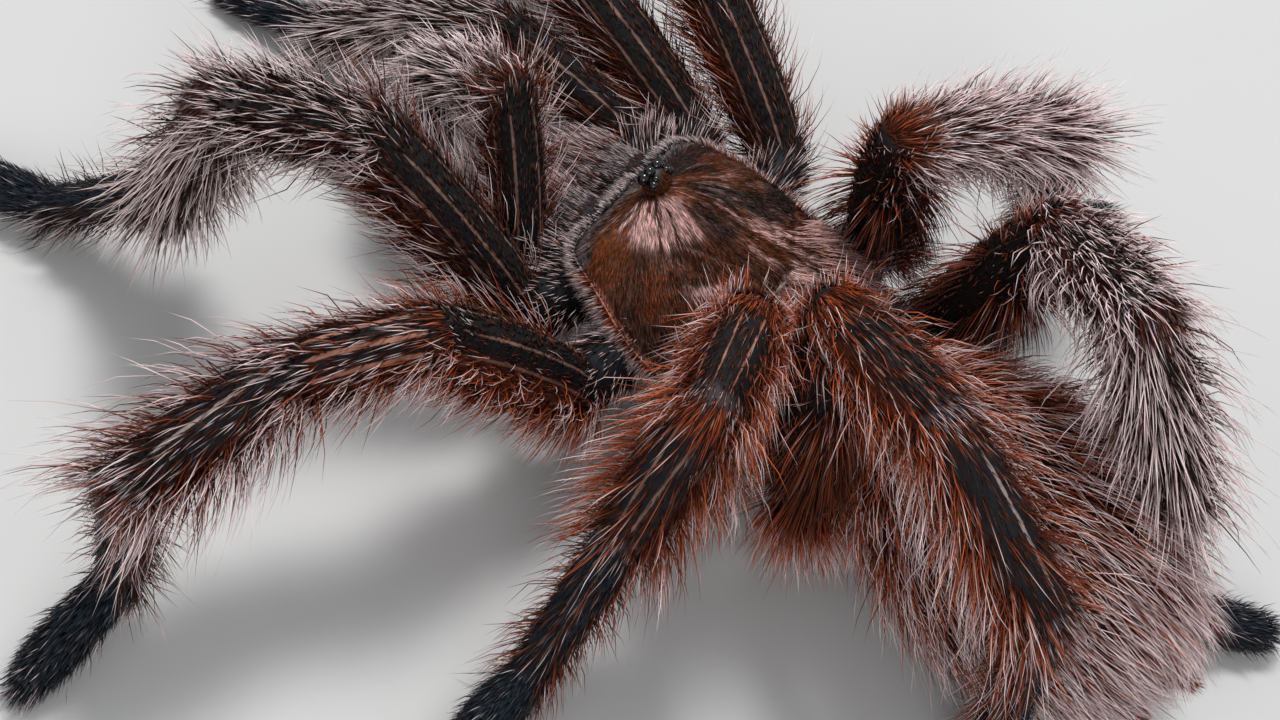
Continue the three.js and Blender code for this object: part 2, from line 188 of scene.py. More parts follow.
def bump_curve(distance, spread):
    return np.exp(-((distance / spread) ** 2))


def heading_vector(sign, heading, rise):
    turn, lift = np.radians(heading), np.radians(rise)
    return at(sign * np.sin(turn) * np.cos(lift), np.cos(turn) * np.cos(lift), np.sin(lift))


def swung(v, degrees=ABDOMEN.swing):
    """v turned about the vertical as the abdomen is."""
    (x, y, z), swing = np.moveaxis(v, -1, 0), np.radians(degrees)
    return np.stack([np.cos(swing) * x + np.sin(swing) * y, np.cos(swing) * y - np.sin(swing) * x, z], -1)


class Tube:
    """A straight stretch of flesh: its axis, its back and side, and its radius at even steps."""

    before, portion = 0.0, 1.0  # where it starts along its limb, and its share of the limb

    def __init__(self, name, start, end, radii, flatness=1.0, back=UP, key=""):
        self.name, self.key, self.flatness = name, key, flatness
        self.start, self.end, self.radii = start, end, np.array(radii)
        self.length = float(np.linalg.norm(end - start))
        self.axis = unit(end - start)
        self.back = unit(back - (back @ self.axis) * self.axis)
        self.side = np.cross(self.axis, self.back)

    def radius(self, share):
        return np.interp(share, np.linspace(0, 1, len(self.radii)), self.radii)

    def outward(self, angle):
        return np.cos(angle)[:, None] * self.back + np.sin(angle)[:, None] * self.side

    def lie(self, angle, rise):
        """The way of hairs that lean towards the far end, rise degrees off the skin."""
        lift = np.radians(np.broadcast_to(rise, angle.shape))[:, None]
        return np.sin(lift) * self.outward(angle) + np.cos(lift) * self.axis

    def surface(self, share, angle, lift):
        """Points lift above the bare skin, which is rounded off where share is below 0 or above 1."""
        radius = self.radius(share)
        beyond = np.maximum(-share, share - 1) * self.length / (CAP * radius)
        radius = radius * np.sqrt(1 - np.clip(beyond, 0, 0.95) ** 2) + lift
        up, across = np.cos(angle) * radius, np.sin(angle) * radius * self.flatness
        centre = self.start + (share * self.length)[:, None] * self.axis
        return centre + up[:, None] * self.back + across[:, None] * self.side

    def locate(self, points):
        """Share along the tube, angle round it from its back, and distance from its bare surface."""
        offset = points - self.start
        share = np.clip(offset @ self.axis / self.length, 0, 1)
        away = offset - (share * self.length)[:, None] * self.axis
        angle = np.arctan2(away @ self.side / self.flatness, away @ self.back)
        return share, angle, np.linalg.norm(away, axis=1) - self.radius(share)


class Segment(Tube):
    """One straight piece of a limb, with what its coat and markings follow."""

    def __init__(self, limb, side_name, name, start, end, heading, order):
        radii, flatness = BARE[name]
        axis, level = unit(end - start), heading_vector(SIDES[side_name], heading, 0)
        rise = np.arctan2(axis[2], axis @ level)
        back = -np.sin(rise) * level + np.cos(rise) * UP
        radii = np.array(radii) * GIRTH_SCALE[limb]
        super().__init__(name, start, end, radii, flatness, back, f"{limb}_{side_name}")
        self.order, self.node, self.size = order, f"{self.key}_{name}", GIRTH_SCALE[limb] ** 0.5
        self.hind, self.thigh, self.knee = limb in HIND, name == "femur", name == "patella"
        self.black = BLACK_THIGH.get(limb, BLACK_BACK) if self.thigh else BLACK_BACK
        self.rust, self.frost = RUST[self.key] * FADE[name], FROST[self.key]
        self.veil = self.frost * (name in ("patella", "tibia"))
        self.one_stripe = name == "tibia" and limb in ("leg2", "leg4")


def limb_segments(limb, side_name):
    sign, key, lengths = SIDES[side_name], f"{limb}_{side_name}", LENGTHS[limb]
    side, forward, up = HIPS[limb]
    point = at(sign * side, forward, up)
    found = []
    for order, (name, length) in enumerate(lengths.items()):
        foot = FOOT_HEADINGS.get(key, POSE[key]["tibia"][0])
        heading, rise = POSE[key].get(name, (foot, 0))
        left = len(lengths) - 1 - order
        if left < 2:
            target = ANKLE_HEIGHTS.get(key, ANKLE_HEIGHT) if left else TOE_HEIGHT * GIRTH_SCALE[limb]
            rise = np.degrees(np.arcsin(np.clip((target - point[2]) / length, -0.999, 0.999)))
        after = point + heading_vector(sign, heading, rise) * length
        found.append(Segment(limb, side_name, name, point, after, heading, order))
        point = after
    total = sum(segment.length for segment in found)
    for segment in found:
        segment.portion = segment.length / total
        segment.before = sum(other.length for other in found[: segment.order]) / total
    return found


ABDOMEN_CENTRE = at(ABDOMEN.side, ABDOMEN.forward, ABDOMEN.up)
LIMBS = {f"{limb}_{side}": limb_segments(limb, side) for limb in HIPS for side in SIDES}
SEGMENTS = [segment for limb in LIMBS.values() for segment in limb]


def body_tubes():
    tubes = []
    for limb, (side, forward, height) in HIPS.items():
        for side_name, sign in SIDES.items():
            start = at(sign * COXA.side, forward * COXA.forward, COXA.up)
            end, key = at(sign * side, forward, height), f"{limb}_{side_name}"
            tubes.append(Tube("coxa", start, end, COXA.radii, COXA.flatness, key=key))
    for sign in SIDES.values():
        start, end = (at(*place) * [sign, 1, 1] for place in (CHELICERA.root, CHELICERA.tip))
        end = end - at(0, CHELICERA.drawn_in, 0)
        radii = CHELICERA.deep * np.array(CHELICERA.fullness)
        tubes.append(Tube("chelicera", start, end, radii, CHELICERA.wide / CHELICERA.deep))
    rearward = heading_vector(1, 180 - ABDOMEN.swing, 0)
    across = np.cross(rearward, UP)
    base = ABDOMEN_CENTRE - SPINNERET.below * UP + rearward * SPINNERET.behind
    for sign in SIDES.values():
        start = base + sign * SPINNERET.apart * across
        way = unit(rearward + sign * SPINNERET.spread * across + SPINNERET.rise * UP)
        tubes.append(Tube("spinneret", start, start + way * SPINNERET.length, SPINNERET.radii))
    neck = ABDOMEN_CENTRE - rearward * PEDICEL.behind - PEDICEL.below * UP
    tubes.append(Tube("pedicel", at(*PEDICEL.front), neck, PEDICEL.radii))
    return tubes


TUBES = body_tubes()

# ------------ meshes


def to_frame(points):
    return (np.asarray(points) + ORIGIN) * MM


def mesh_from(name, points, faces):
    """A mesh of equal faces from arrays, in the frame and in metres."""
    mesh = bpy.data.meshes.new(name)
    points, corners = to_frame(points), faces.shape[1]
    mesh.vertices.add(len(points))
    mesh.vertices.foreach_set("co", points.astype(np.float32).ravel())
    mesh.loops.add(faces.size)
    mesh.loops.foreach_set("vertex_index", faces.astype(np.int32).ravel())
    mesh.polygons.add(len(faces))
    mesh.polygons.foreach_set("loop_start", np.arange(0, faces.size, corners, dtype=np.int32))
    mesh.polygons.foreach_set("loop_total", np.full(len(faces), corners, dtype=np.int32))
    mesh.polygons.foreach_set("use_smooth", np.ones(len(faces), dtype=bool))
    mesh.update(calc_edges=True)
    return mesh


def piece_from(mesh, material, nodes=()):
    piece = bpy.data.objects.new(mesh.name, mesh)
    bpy.context.scene.collection.objects.link(piece)
    mesh.materials.append(material)
    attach(piece, "root")
    if nodes:
        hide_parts(*nodes)


def write_attribute(mesh, name, values):
    layer = mesh.attributes.new(name, "FLOAT_COLOR", "POINT")
    layer.data.foreach_set("color", np.asarray(values, np.float32).ravel())


def tube_faces(rings, sides):
    """Faces over rings of points followed by the first and the last point."""
    here = np.arange(rings * sides).reshape(rings, sides)
    after = np.roll(here, -1, 1)
    walls = [here[:-1], after[:-1], after[1:], here[:-1], after[1:], here[1:]]
    first, last = np.full(sides, rings * sides), np.full(sides, rings * sides + 1)
    ends = [first, after[0], here[0], last, here[-1], after[-1]]
    return np.concatenate([np.stack(corners, -1).reshape(-1, 3) for corners in (walls, ends)])


def bar(tube, sides=24):
    """A closed bar with rounded ends over a tube."""
    near, far = tube.radii[0], tube.radii[-1]
    round_end = np.radians((25, 50, 72))
    stations = [(-np.cos(a) * CAP * near, near * np.sin(a)) for a in round_end]
    shares = np.linspace(0, 1, 4 * len(tube.radii) + 1)
    stations += [(share * tube.length, tube.radius(share)) for share in shares]
    stations += [(tube.length + np.cos(a) * CAP * far, far * np.sin(a)) for a in round_end[::-1]]
    turn = full_turn(sides)[:, None]
    section = np.cos(turn) * tube.back + np.sin(turn) * tube.side * tube.flatness
    rings = [tube.start + along * tube.axis + radius * section for along, radius in stations]
    tips = [tube.start - CAP * near * tube.axis, tube.end + CAP * far * tube.axis]
    return np.concatenate([*rings, tips]), tube_faces(len(rings), sides)


def closed_ball(points_of, kind):
    rows, columns = FINENESS[kind]
    theta = np.linspace(0, np.pi, rows + 2)[1:-1]
    grid_theta, grid_phi = np.meshgrid(theta, full_turn(columns), indexing="ij")
    rings = points_of(grid_theta, grid_phi).reshape(-1, 3)
    poles = points_of(np.array([0.0, np.pi]), np.zeros(2))
    return np.concatenate([rings, poles]), tube_faces(rows, columns)


def ellipsoid(centre, half, kind):
    def points_of(theta, phi):
        return centre + half * np.stack(
            [np.sin(theta) * np.cos(phi), -np.sin(theta) * np.sin(phi), np.cos(theta)], -1
        )

    return closed_ball(points_of, kind)


def abdomen_points(theta, phi, sunk=0.0):
    """theta runs from the front pole to the rear, phi round it from the top."""
    half = np.array(ABDOMEN.half) - sunk
    rearward = -np.cos(theta)
    fullness = 1 + ABDOMEN.rear * (rearward - 0.4 * rearward**2)
    x = np.sin(theta) * np.sin(phi) * half[0] * fullness
    z = np.sin(theta) * np.cos(phi) * half[2] * fullness
    return swung(np.stack([x, rearward * half[1], z], -1)) + ABDOMEN_CENTRE


def joined(parts):
    points, faces, base = [], [], 0
    for part_points, part_faces in parts:
        points.append(part_points)
        faces.append(part_faces + base)
        base += len(part_points)
    return np.concatenate(points), np.concatenate(faces)


# ------------ node helpers


class Nodes:
    """Short calls for building a material's node tree."""

    def __init__(self, name):
        self.material = bpy.data.materials.new(name)
        self.material.use_nodes = True
        self.tree = self.material.node_tree
        self.shader = self.tree.nodes["Principled BSDF"]

    def feed(self, value, socket):
        if isinstance(value, bpy.types.NodeSocket):
            self.tree.links.new(value, socket)
        else:
            socket.default_value = (*value, 1.0) if isinstance(value, tuple) else value

    def new(self, kind, inputs=(), **settings):
        node = self.tree.nodes.new("ShaderNode" + kind)
        for key, value in settings.items():
            setattr(node, key, value)
        for key, value in dict(inputs).items():
            self.feed(value, node.inputs[key])
        return node

    def math(self, operation, a, b=0.0, clamp=False):
        return self.new("Math", {0: a, 1: b}, operation=operation, use_clamp=clamp).outputs[0]

    def times(self, a, b, clamp=False):
        return self.math("MULTIPLY", a, b, clamp)

    def apart(self, a, b):
        return self.math("ABSOLUTE", self.math("SUBTRACT", a, b))

    def line(self, value, slope, start):
        return self.math("ADD", self.times(value, slope), start)

    def mix(self, factor, a, b):
        return self.new("Mix", {0: factor, 6: a, 7: b}, data_type="RGBA").outputs[2]

    def ramp(self, value, low, high):
        inputs = {"Value": value, "From Min": low, "From Max": high}
        return self.new("MapRange", inputs, interpolation_type="SMOOTHSTEP").outputs["Result"]

    def noise(self, scale, detail):
        place = self.new("TexCoord").outputs["Object"]
        return self.new("TexNoise", {"Scale": scale, "Detail": detail, "Vector": place}).outputs["Fac"]

    def attribute(self, name):
        node = self.new("Attribute", attribute_name=name)
        split = self.new("SeparateColor", {0: node.outputs["Color"]})
        return (*split.outputs[:3], node.outputs["Alpha"])

    def bump(self, height, strength, distance):
        node = self.new("Bump", {"Height": height, "Strength": strength, "Distance": distance})
        self.feed(node.outputs["Normal"], self.shader.inputs["Normal"])

    def finish(self, colour, roughness, **sockets):
        for name, value in {"Base_Color": colour, "Roughness": roughness, **sockets}.items():
            self.feed(value, self.shader.inputs[name.replace("_", " ")])
        return self.material


# ------------ colours

BLACK = (0.0, 0.0, 0.0)
VELVET = (0.007, 0.006, 0.007)
BLUE_BLACK = (0.017, 0.028, 0.041)
BROWN_BLACK = (0.026, 0.014, 0.010)
RUST_RED = (0.62, 0.115, 0.026)
CHESTNUT = (0.54, 0.135, 0.020)
DEEP_RUST = (0.15, 0.028, 0.009)
PINK_WHITE = (0.92, 0.74, 0.73)
# Palest tips of the shell's hair, and the pink of its painted sheen highlight.
ROSE = (0.95, 0.60, 0.56)
SALMON = (0.27, 0.15, 0.11)
TAN = (0.24, 0.10, 0.05)
MEMBRANE = (0.10, 0.085, 0.095)
BONE = (0.38, 0.29, 0.26)
PEACH = (0.46, 0.19, 0.13)
# Colours of the shell's skin. Sheen is a painted highlight: pink laid into the colour where light would
# catch.
SHELL_COLOURS = {
    "dark": (0.034, 0.013, 0.007), "bronze": (0.13, 0.045, 0.015), "streak": (0.016, 0.009, 0.008),
    "sheen": (0.45, 0.22, 0.18), "rear": (0.26, 0.095, 0.036), "rim": (0.66, 0.26, 0.15),
    "brow": (0.30, 0.29, 0.31),
}
MOUND_BROWN = (0.022, 0.009, 0.006)
EYE_BLACK = (0.002, 0.002, 0.002)
FANG_BLACK = (0.012, 0.008, 0.008)
CLAW_BLACK = (0.015, 0.010, 0.010)
FLOOR_GREYS = ((0.65, 0.645, 0.635), (0.67, 0.665, 0.655))
# Scale and detail of each noise, and strength and distance of each bump.
NOISE = Sizes(
    ragged=(1500.0, 2.0), speckle=(900.0, 4.0), skin=(2600.0, 5.0), mottle=(420.0, 5.0), shell=(3400.0, 3.0),
    horn=(1800.0, 3.0), mound=(1300.0, 3.0), eye=(900.0, 3.0), floor=(30.0, 2.0),
)
BUMP = Sizes(
    skin=(0.5, 0.00008), shell=(0.6, 0.00009), horn=(0.25, 0.00004), mound=(1.0, 0.00004), eye=(0.0, 0.00004),
)
SKY = (0.93, 0.96, 1.0, 1.0)


def coat_material(name, roughness, gloss, reach, palest, reddest):
    """Hair colour from four values: place along the hair, rust, paleness of its tip and chance."""
    n = Nodes(name)
    along, rust, pale, chance = n.attribute("coat")
    root = n.mix(n.times(rust, 2.0, True), VELVET, DEEP_RUST)
    dark = n.mix(n.ramp(rust, 0.0, 0.12), BLUE_BLACK, BROWN_BLACK)
    base = n.mix(n.ramp(rust, 0.08, 1.0), dark, reddest)
    tip = n.mix(n.ramp(pale, 0.25, 1.0), base, palest)
    body = n.mix(n.ramp(along, 0.0, 0.55), root, base)
    turn = n.line(pale, -reach, 0.60)
    colour = n.mix(n.math("DIVIDE", n.math("SUBTRACT", along, turn), 0.40, True), body, tip)
    varied = n.new("HueSaturation", {"Color": colour, "Value": n.line(chance, 0.66, 0.62)})
    return n.finish(varied.outputs["Color"], roughness, Specular_IOR_Level=gloss)


def skin_material():
    """Limb and body skin: velvet, bald stripes and paler joints from the marks on its points."""
    n = Nodes("skin")
    across, first, half, second = n.attribute("lanes")
    rust, joint, grey, bone = n.attribute("marks")
    arc = n.math("ABSOLUTE", across)
    gap = n.math("MINIMUM", n.apart(arc, first), n.apart(arc, second))
    ragged = n.times(n.math("SUBTRACT", n.noise(*NOISE.ragged), 0.5), 0.2)
    gap = n.math("SUBTRACT", n.math("ADD", gap, ragged), half)
    bald = n.math("SUBTRACT", 1.0, n.ramp(gap, -0.04, 0.05))
    speckle = n.noise(*NOISE.speckle)
    colour = n.mix(n.ramp(rust, 0.0, 1.0), VELVET, DEEP_RUST)
    colour = n.mix(grey, colour, BLUE_BLACK)
    colour = n.mix(n.times(joint, 0.7), colour, MEMBRANE)
    stripe = n.mix(n.ramp(rust, 0.0, 1.0), SALMON, TAN)
    stripe = n.mix(n.ramp(bone, 0.5, 1.0), n.mix(n.ramp(bone, 0.0, 0.5), stripe, PEACH), BONE)
    colour = n.mix(bald, colour, stripe)
    colour = n.mix(n.ramp(speckle, 0.3, 0.75), colour, n.mix(0.5, colour, BLACK))
    n.bump(n.noise(*NOISE.skin), *BUMP.skin)
    return n.finish(colour, n.line(bald, -0.25, 0.72), Specular_IOR_Level=0.25)


def carapace_material():
    """Chestnut shell: radial streaks, painted pink sheen, a bright line at the rim, a grey brow and a tan
    rear.
    """
    n = Nodes("carapace")
    share, streak, sheen, ends = n.attribute("shell")
    mottle = n.noise(*NOISE.mottle)
    fine = n.noise(*NOISE.shell)
    colour = n.mix(n.ramp(mottle, 0.35, 0.68), SHELL_COLOURS["dark"], SHELL_COLOURS["bronze"])
    layers = {
        "streak": n.times(n.ramp(streak, 0.45, 0.9), 0.6),
        "sheen": n.times(sheen, 0.3),
        "rear": n.ramp(ends, 0.0, 1.0),
        "rim": n.times(n.ramp(share, 0.965, 0.985), 0.8),
        "brow": n.ramp(n.times(ends, -1.0), 0.1, 0.8),
    }
    for name, cover in layers.items():
        colour = n.mix(cover, colour, SHELL_COLOURS[name])
    n.bump(fine, *BUMP.shell)
    return n.finish(colour, n.line(fine, 0.3, 0.32), Specular_IOR_Level=0.45)


def plain_material(name, colour, roughness, noise=NOISE.horn, bump=BUMP.horn, **sockets):
    n = Nodes(name)
    speckle = n.noise(*noise)
    shade = n.mix(n.ramp(speckle, 0.3, 0.8), colour, tuple(value * 0.6 for value in colour))
    n.bump(speckle, *bump)
    return n.finish(shade, roughness, **sockets)


# ------------ carapace

# Soft patches on the shell: place sideways and forwards, narrowing each way, spread, and slant. All but the
# pit, fovea, ember and flecks mark a painted highlight: pink sheen.
PATCHES = {
    "pit": ((0.0, SHELL.fovea_forward), (0.55, 1.6), SHELL.fovea_spread, 0.0),
    "fovea": ((0.0, SHELL.fovea_forward), (0.8, 1.4), 1.8, 0.0),
    "eye_skin_sheen": ((2.8, 5.6), (0.8, 1.0), 2.2, 0.0),
    "flank_skin_sheen": ((5.6, -3.4), (0.8, 1.0), 2.0, 0.0),
    "flank_sheen": ((5.2, -3.6), (0.6, 1.0), 1.3, 0.0),
    "rear_sheen": ((-1.5, -3.0), (0.4, 1.0), 1.8, 0.0),
    "flank_line": ((3.8, 0.5), (1.0, 0.4), 0.8, 0.72),
    "ember": ((0.1, 6.8), (1.0, 1.0), 1.1, 0.0),
    "flecks": ((-2.6, 1.2), (0.45, 0.3), 1.3, 0.0),
}
SPOKES, SPOKE_RELIEF, CLEFT_RELIEF = 8, 0.1, 0.12
SHELL_STEPS = 200
UNDER_SHARES = (0.45, 0.75, 0.93, 0.985)
# The edge of the rim: share of its reach, and rise from the underside.
LIP = ((1.0, 0.10), (1.012, 0.34), (1.012, 0.62), (1.0, 0.92))
OVER_SHARES = 1 - np.linspace(0.012, 0.96, 50) ** 1.35


def patch_on_shell(name, side, forward):
    (side_at, forward_at), narrow, spread, slant = PATCHES[name]
    ahead = forward - forward_at
    return bump_curve(np.hypot((side - slant * ahead - side_at) * narrow[0], ahead * narrow[1]), spread)


def rim_outline():
    """The rim as the reach of the shell in each direction: angle from straight ahead, and radius."""
    turn = np.linspace(-np.pi, np.pi, 40001)
    front = np.cos(turn) > 0
    power = np.where(front, 2 / SHELL.front_square, 2 / SHELL.rear_square)
    forward = np.sign(np.cos(turn)) * np.abs(np.cos(turn)) ** power
    side = np.sign(np.sin(turn)) * np.abs(np.sin(turn)) ** power
    narrowing = 1 - SHELL.narrowing * smoothstep(forward, 0.0, 1.0)
    reach = np.where(front, SHELL.front - SHELL.widest, SHELL.rear + SHELL.widest)
    side, forward = side * narrowing * SHELL.half_width, forward * reach + SHELL.widest
    return np.arctan2(side, forward), np.hypot(side, forward)


RIM_ANGLES, RIM_REACH = rim_outline()


def rim_reach(angle):
    return np.interp((angle + np.pi) % (2 * np.pi) - np.pi, RIM_ANGLES, RIM_REACH)


def carapace_rim(angle):
    reach = rim_reach(angle)
    return np.sin(angle) * reach, np.cos(angle) * reach


def rim_lift(forward):
    return SHELL.front_lift * smoothstep(forward, -2.0, 9.0)


def carapace_height(share, side, forward):
    fullness = 2.6 + 3.0 * smoothstep(forward, 0.0, 9.0)
    dome = (1 - np.clip(share / SHELL.flange, 0, 1) ** fullness) ** 0.8
    rim = SHELL.rim + rim_lift(forward) + 0.12 * smoothstep(share, SHELL.flange, 1.0)
    head = bump_curve(forward - SHELL.head_forward, SHELL.head_spread)
    head = head * bump_curve(side, SHELL.head_spread)
    behind = forward - SHELL.fovea_forward
    ray = np.cos(np.arctan2(side, behind) * SPOKES + np.pi) ** 16
    spokes = ray * np.clip((np.hypot(side, behind) - 1.2) / 2, 0, 1) * np.clip(1.6 - share * 1.7, 0, 1)
    cleft = bump_curve(np.abs(side) - 3.5 - 0.2 * (forward - 2), 0.6) * np.clip((forward - 0.5) / 3, 0, 1)
    cleft = cleft * np.clip((9 - forward) / 3, 0, 1)
    relief = SHELL.head_rise * head - SHELL.fovea_depth * patch_on_shell("pit", side, forward)
    relief = relief - SPOKE_RELIEF * spokes - CLEFT_RELIEF * cleft
    return rim + (SHELL.crown - rim) * dome + dome * relief


def carapace_point(share, angle):
    side, forward = carapace_rim(angle)
    side, forward = side * share, forward * share
    return np.stack([side, -forward, carapace_height(share, side, forward)], -1)


def build_carapace():
    angle = full_turn(SHELL_STEPS)
    side, forward = carapace_rim(angle)
    base, rim = SHELL.underside, SHELL.rim
    rings = [np.stack([side * s, -forward * s, base + rim_lift(forward * s)], -1) for s in UNDER_SHARES]
    for share, rise in LIP:
        up = base + rise * (rim - base) + rim_lift(forward)
        rings.append(np.stack([side * share, -forward * share, up], -1))
    rings += [carapace_point(np.full(SHELL_STEPS, share), angle) for share in OVER_SHARES]
    poles = np.array([[0, 0, base + rim_lift(0.0)], [0, 0, carapace_height(0.0, 0.0, 0.0)]])
    points = np.concatenate([*rings, poles])
    mesh = mesh_from("carapace", points, tube_faces(len(rings), SHELL_STEPS))
    shares = np.array([*UNDER_SHARES, *(1.0 for _ in LIP), *OVER_SHARES])
    share = np.append(np.repeat(shares, SHELL_STEPS), [0.0, 0.0])
    side, forward = points[:, 0], -points[:, 1]
    turn = np.arctan2(side, forward - SHELL.fovea_forward)
    streak = np.cos(turn * SPOKES + np.pi) ** 8 * np.clip(1.5 - share * 1.5, 0, 1)
    streak = np.maximum(streak, patch_on_shell("fovea", side, forward))
    # Painted highlight: pink sheen painted on the skin left of the eyes and on the left flank.
    sheen = patch_on_shell("eye_skin_sheen", side, forward)
    sheen = np.maximum(sheen, 0.7 * patch_on_shell("flank_skin_sheen", side, forward))
    rear = np.clip((-forward - 6.0) / 4, 0, 1)
    brow = smoothstep(forward, 7.5, 9.5) * smoothstep(share, 0.86, 0.96)
    write_attribute(mesh, "shell", np.stack([share, streak, sheen, rear - brow], -1))
    piece_from(mesh, carapace_material(), ["carapace"])


def build_eyes():
    centre = at(0, TUBERCLE.forward, TUBERCLE.base)
    mound = mesh_from("eye_mound", *ellipsoid(centre, TUBERCLE.half, "mound"))
    brown = plain_material("mound", MOUND_BROWN, 0.55, NOISE.mound, BUMP.mound)
    piece_from(mound, brown, ["eye_tubercle"])
    balls = [
        ellipsoid(centre + at(sign * side, forward, up), radius, "eye")
        for side, forward, up, radius in EYES for sign in (-1, 1)
    ]
    gloss = dict(Specular_IOR_Level=0.25, Coat_Weight=1.0, Coat_Roughness=0.04)
    glass = plain_material("eye", EYE_BLACK, 0.2, NOISE.eye, BUMP.eye, **gloss)
    piece_from(mesh_from("eyes", *joined(balls)), glass)


def build_fangs(sides=16, steps=14):
    for name, sign in SIDES.items():
        root, bend, tip = (at(sign * FANG.side, *place) for place in FANG.line)
        t = np.linspace(0, 1, steps)[:, None]
        line = (1 - t) ** 2 * root + 2 * t * (1 - t) * bend + t**2 * tip
        radii = FANG.radii[0] * (1 - t[:, 0]) ** 0.7 + FANG.radii[1]
        turn = full_turn(sides)[:, None]
        tangent = unit(np.gradient(line, axis=0))
        across = np.array([1.0, 0.0, 0.0])
        rings = [
            p + r * (np.cos(turn) * across + np.sin(turn) * np.cross(d, across))
            for p, r, d in zip(line, radii, tangent)
        ]
        ends = [line[:1] - tangent[:1] * FANG.caps[0], line[-1:] + tangent[-1:] * FANG.caps[1]]
        points = np.concatenate([*rings, *ends])
        mesh = mesh_from(f"fang_{name}", points, tube_faces(steps, sides))
        piece_from(mesh, plain_material(f"horn_{name}", FANG_BLACK, 0.22), [f"fang_{name}"])


def build_claws():
    parts = []
    for foot in (limb[-1] for limb in LIMBS.values()):
        for sign in (-1, 1):
            root = foot.end + CLAW.ahead * foot.axis - CLAW.under * foot.back
            root += sign * CLAW.apart * foot.side
            tip = root + CLAW.reach * foot.axis - CLAW.drop * foot.back
            tip += sign * CLAW.splay * foot.side
            tip[2] = max(tip[2], CLAW.lowest)
            parts.append(bar(Tube("claw", root, tip, CLAW.radii, CLAW.flatness, foot.back), 8))
    piece_from(mesh_from("claws", *joined(parts)), plain_material("claw", CLAW_BLACK, 0.3))


# ------------ skin

OFF = 9.0  # further round than any limb reaches, in mm
# Bald stripes on the back of each segment: distance from its middle in mm at its two ends, twice.
STRIPES = {
    "femur": (1.05, 1.05, 2.55, 2.6),
    "patella": (0.80, 0.62, 2.1, 2.0),
    "tibia": (0.80, 0.45, OFF, OFF),
    "metatarsus": (0.34, 0.28, OFF, OFF),
}
STRIPE_HALF = {"femur": 0.10, "patella": 0.16, "tibia": 0.10, "metatarsus": 0.05}
MIDDLE_STRIPE, MIDDLE_HALF = (0.0, 0.0, OFF, OFF), 0.12
FAINT_HALF = 0.03
STRIPE_SPAN = (0.06, 0.93)  # shares that the stripes run between
STRIPE_REACH = 2.3  # how far round from the back they may lie, in radians
# Rust and blue-grey of the skin between the limbs, and blue-grey along the limbs.
BODY_MARKS = {
    "coxa": (0.05, 0.4), "chelicera": (0.25, 0.5), "spinneret": (0.35, 0.0), "pedicel": (0.3, 0.0),
    "abdomen": (0.35, 0.15),
}
GREY = {"tibia": 0.25, "metatarsus": 0.6, "tarsus": 1.0}
RUST_BAND, JOINT_BAND, ABDOMEN_DEPTH = 0.7, 0.5, 8  # in radians, mm and mm


def stripe_lanes(segment, share, angle):
    """Distance round the limb, the middles of its two stripes and their half width, in mm."""
    near, far, outer_near, outer_far = STRIPES.get(segment.name, (OFF, OFF, OFF, OFF))
    half = STRIPE_HALF.get(segment.name, 0.0)
    if segment.one_stripe:
        near, far, outer_near, outer_far = MIDDLE_STRIPE
        half = MIDDLE_HALF
    if segment.hind and (segment.thigh or segment.knee):
        half = 2 * FAINT_HALF if segment.key == "leg3_left" else FAINT_HALF
    if segment.knee and segment.frost > 0.5:
        half = FAINT_HALF
    from_end = np.minimum(share - STRIPE_SPAN[0], STRIPE_SPAN[1] - share)
    taper = np.clip(from_end * (6 if segment.one_stripe else 12), -1, 1)
    half = np.where(np.abs(angle) < STRIPE_REACH, taper * half, -1.0)
    arc = angle * segment.radius(share)
    return arc, near + (far - near) * share, half, outer_near + (outer_far - outer_near) * share


def stripe_gap(segment, share, angle):
    """Distance from the nearest bald stripe's edge, in millimetres, negative inside it."""
    arc, first, half, second = stripe_lanes(segment, share, angle)
    return np.minimum(np.abs(np.abs(arc) - first), np.abs(np.abs(arc) - second)) - half


def nearer(best, away):
    """Where away is less than the best so far, which it then replaces."""
    close = away < best
    best[close] = away[close]
    return close


def skin_marks(points):
    """Lanes of the stripes and marks of each point, from the part of the body that is nearest."""
    best = np.full(len(points), np.inf)
    marks = np.zeros((len(points), 4))
    lanes = np.full((len(points), 4), (OFF, 0.0, -1.0, 0.0))
    for segment in SEGMENTS:
        share, angle, away = segment.locate(points)
        close = nearer(best, away)
        lanes[close] = np.stack(stripe_lanes(segment, share, angle), -1)[close]
        rust = segment.rust * np.clip((np.abs(angle) - segment.black) / RUST_BAND, 0, 1)
        edge = np.minimum(share, 1 - share) * segment.length
        joint = np.clip(1 - edge / JOINT_BAND, 0, 1) * (segment.order > 0)
        bone = 1.0 if segment.one_stripe else 0.5 * segment.knee
        facts = np.broadcast_arrays(rust, joint, GREY.get(segment.name, 0.0), bone)
        marks[close] = np.stack(facts, -1)[close]
    from_centre = swung(points - ABDOMEN_CENTRE, -ABDOMEN.swing) / np.array(ABDOMEN.half)
    depths = [(tube.name, tube.locate(points)[2]) for tube in TUBES]
    depths.append(("abdomen", (np.linalg.norm(from_centre, axis=1) - 1) * ABDOMEN_DEPTH))
    for name, away in depths:
        close = nearer(best, away)
        rust, grey = BODY_MARKS[name]
        marks[close] = (rust, 0.0, grey, 0.0)
        lanes[close, 2] = -1.0
    return lanes, marks


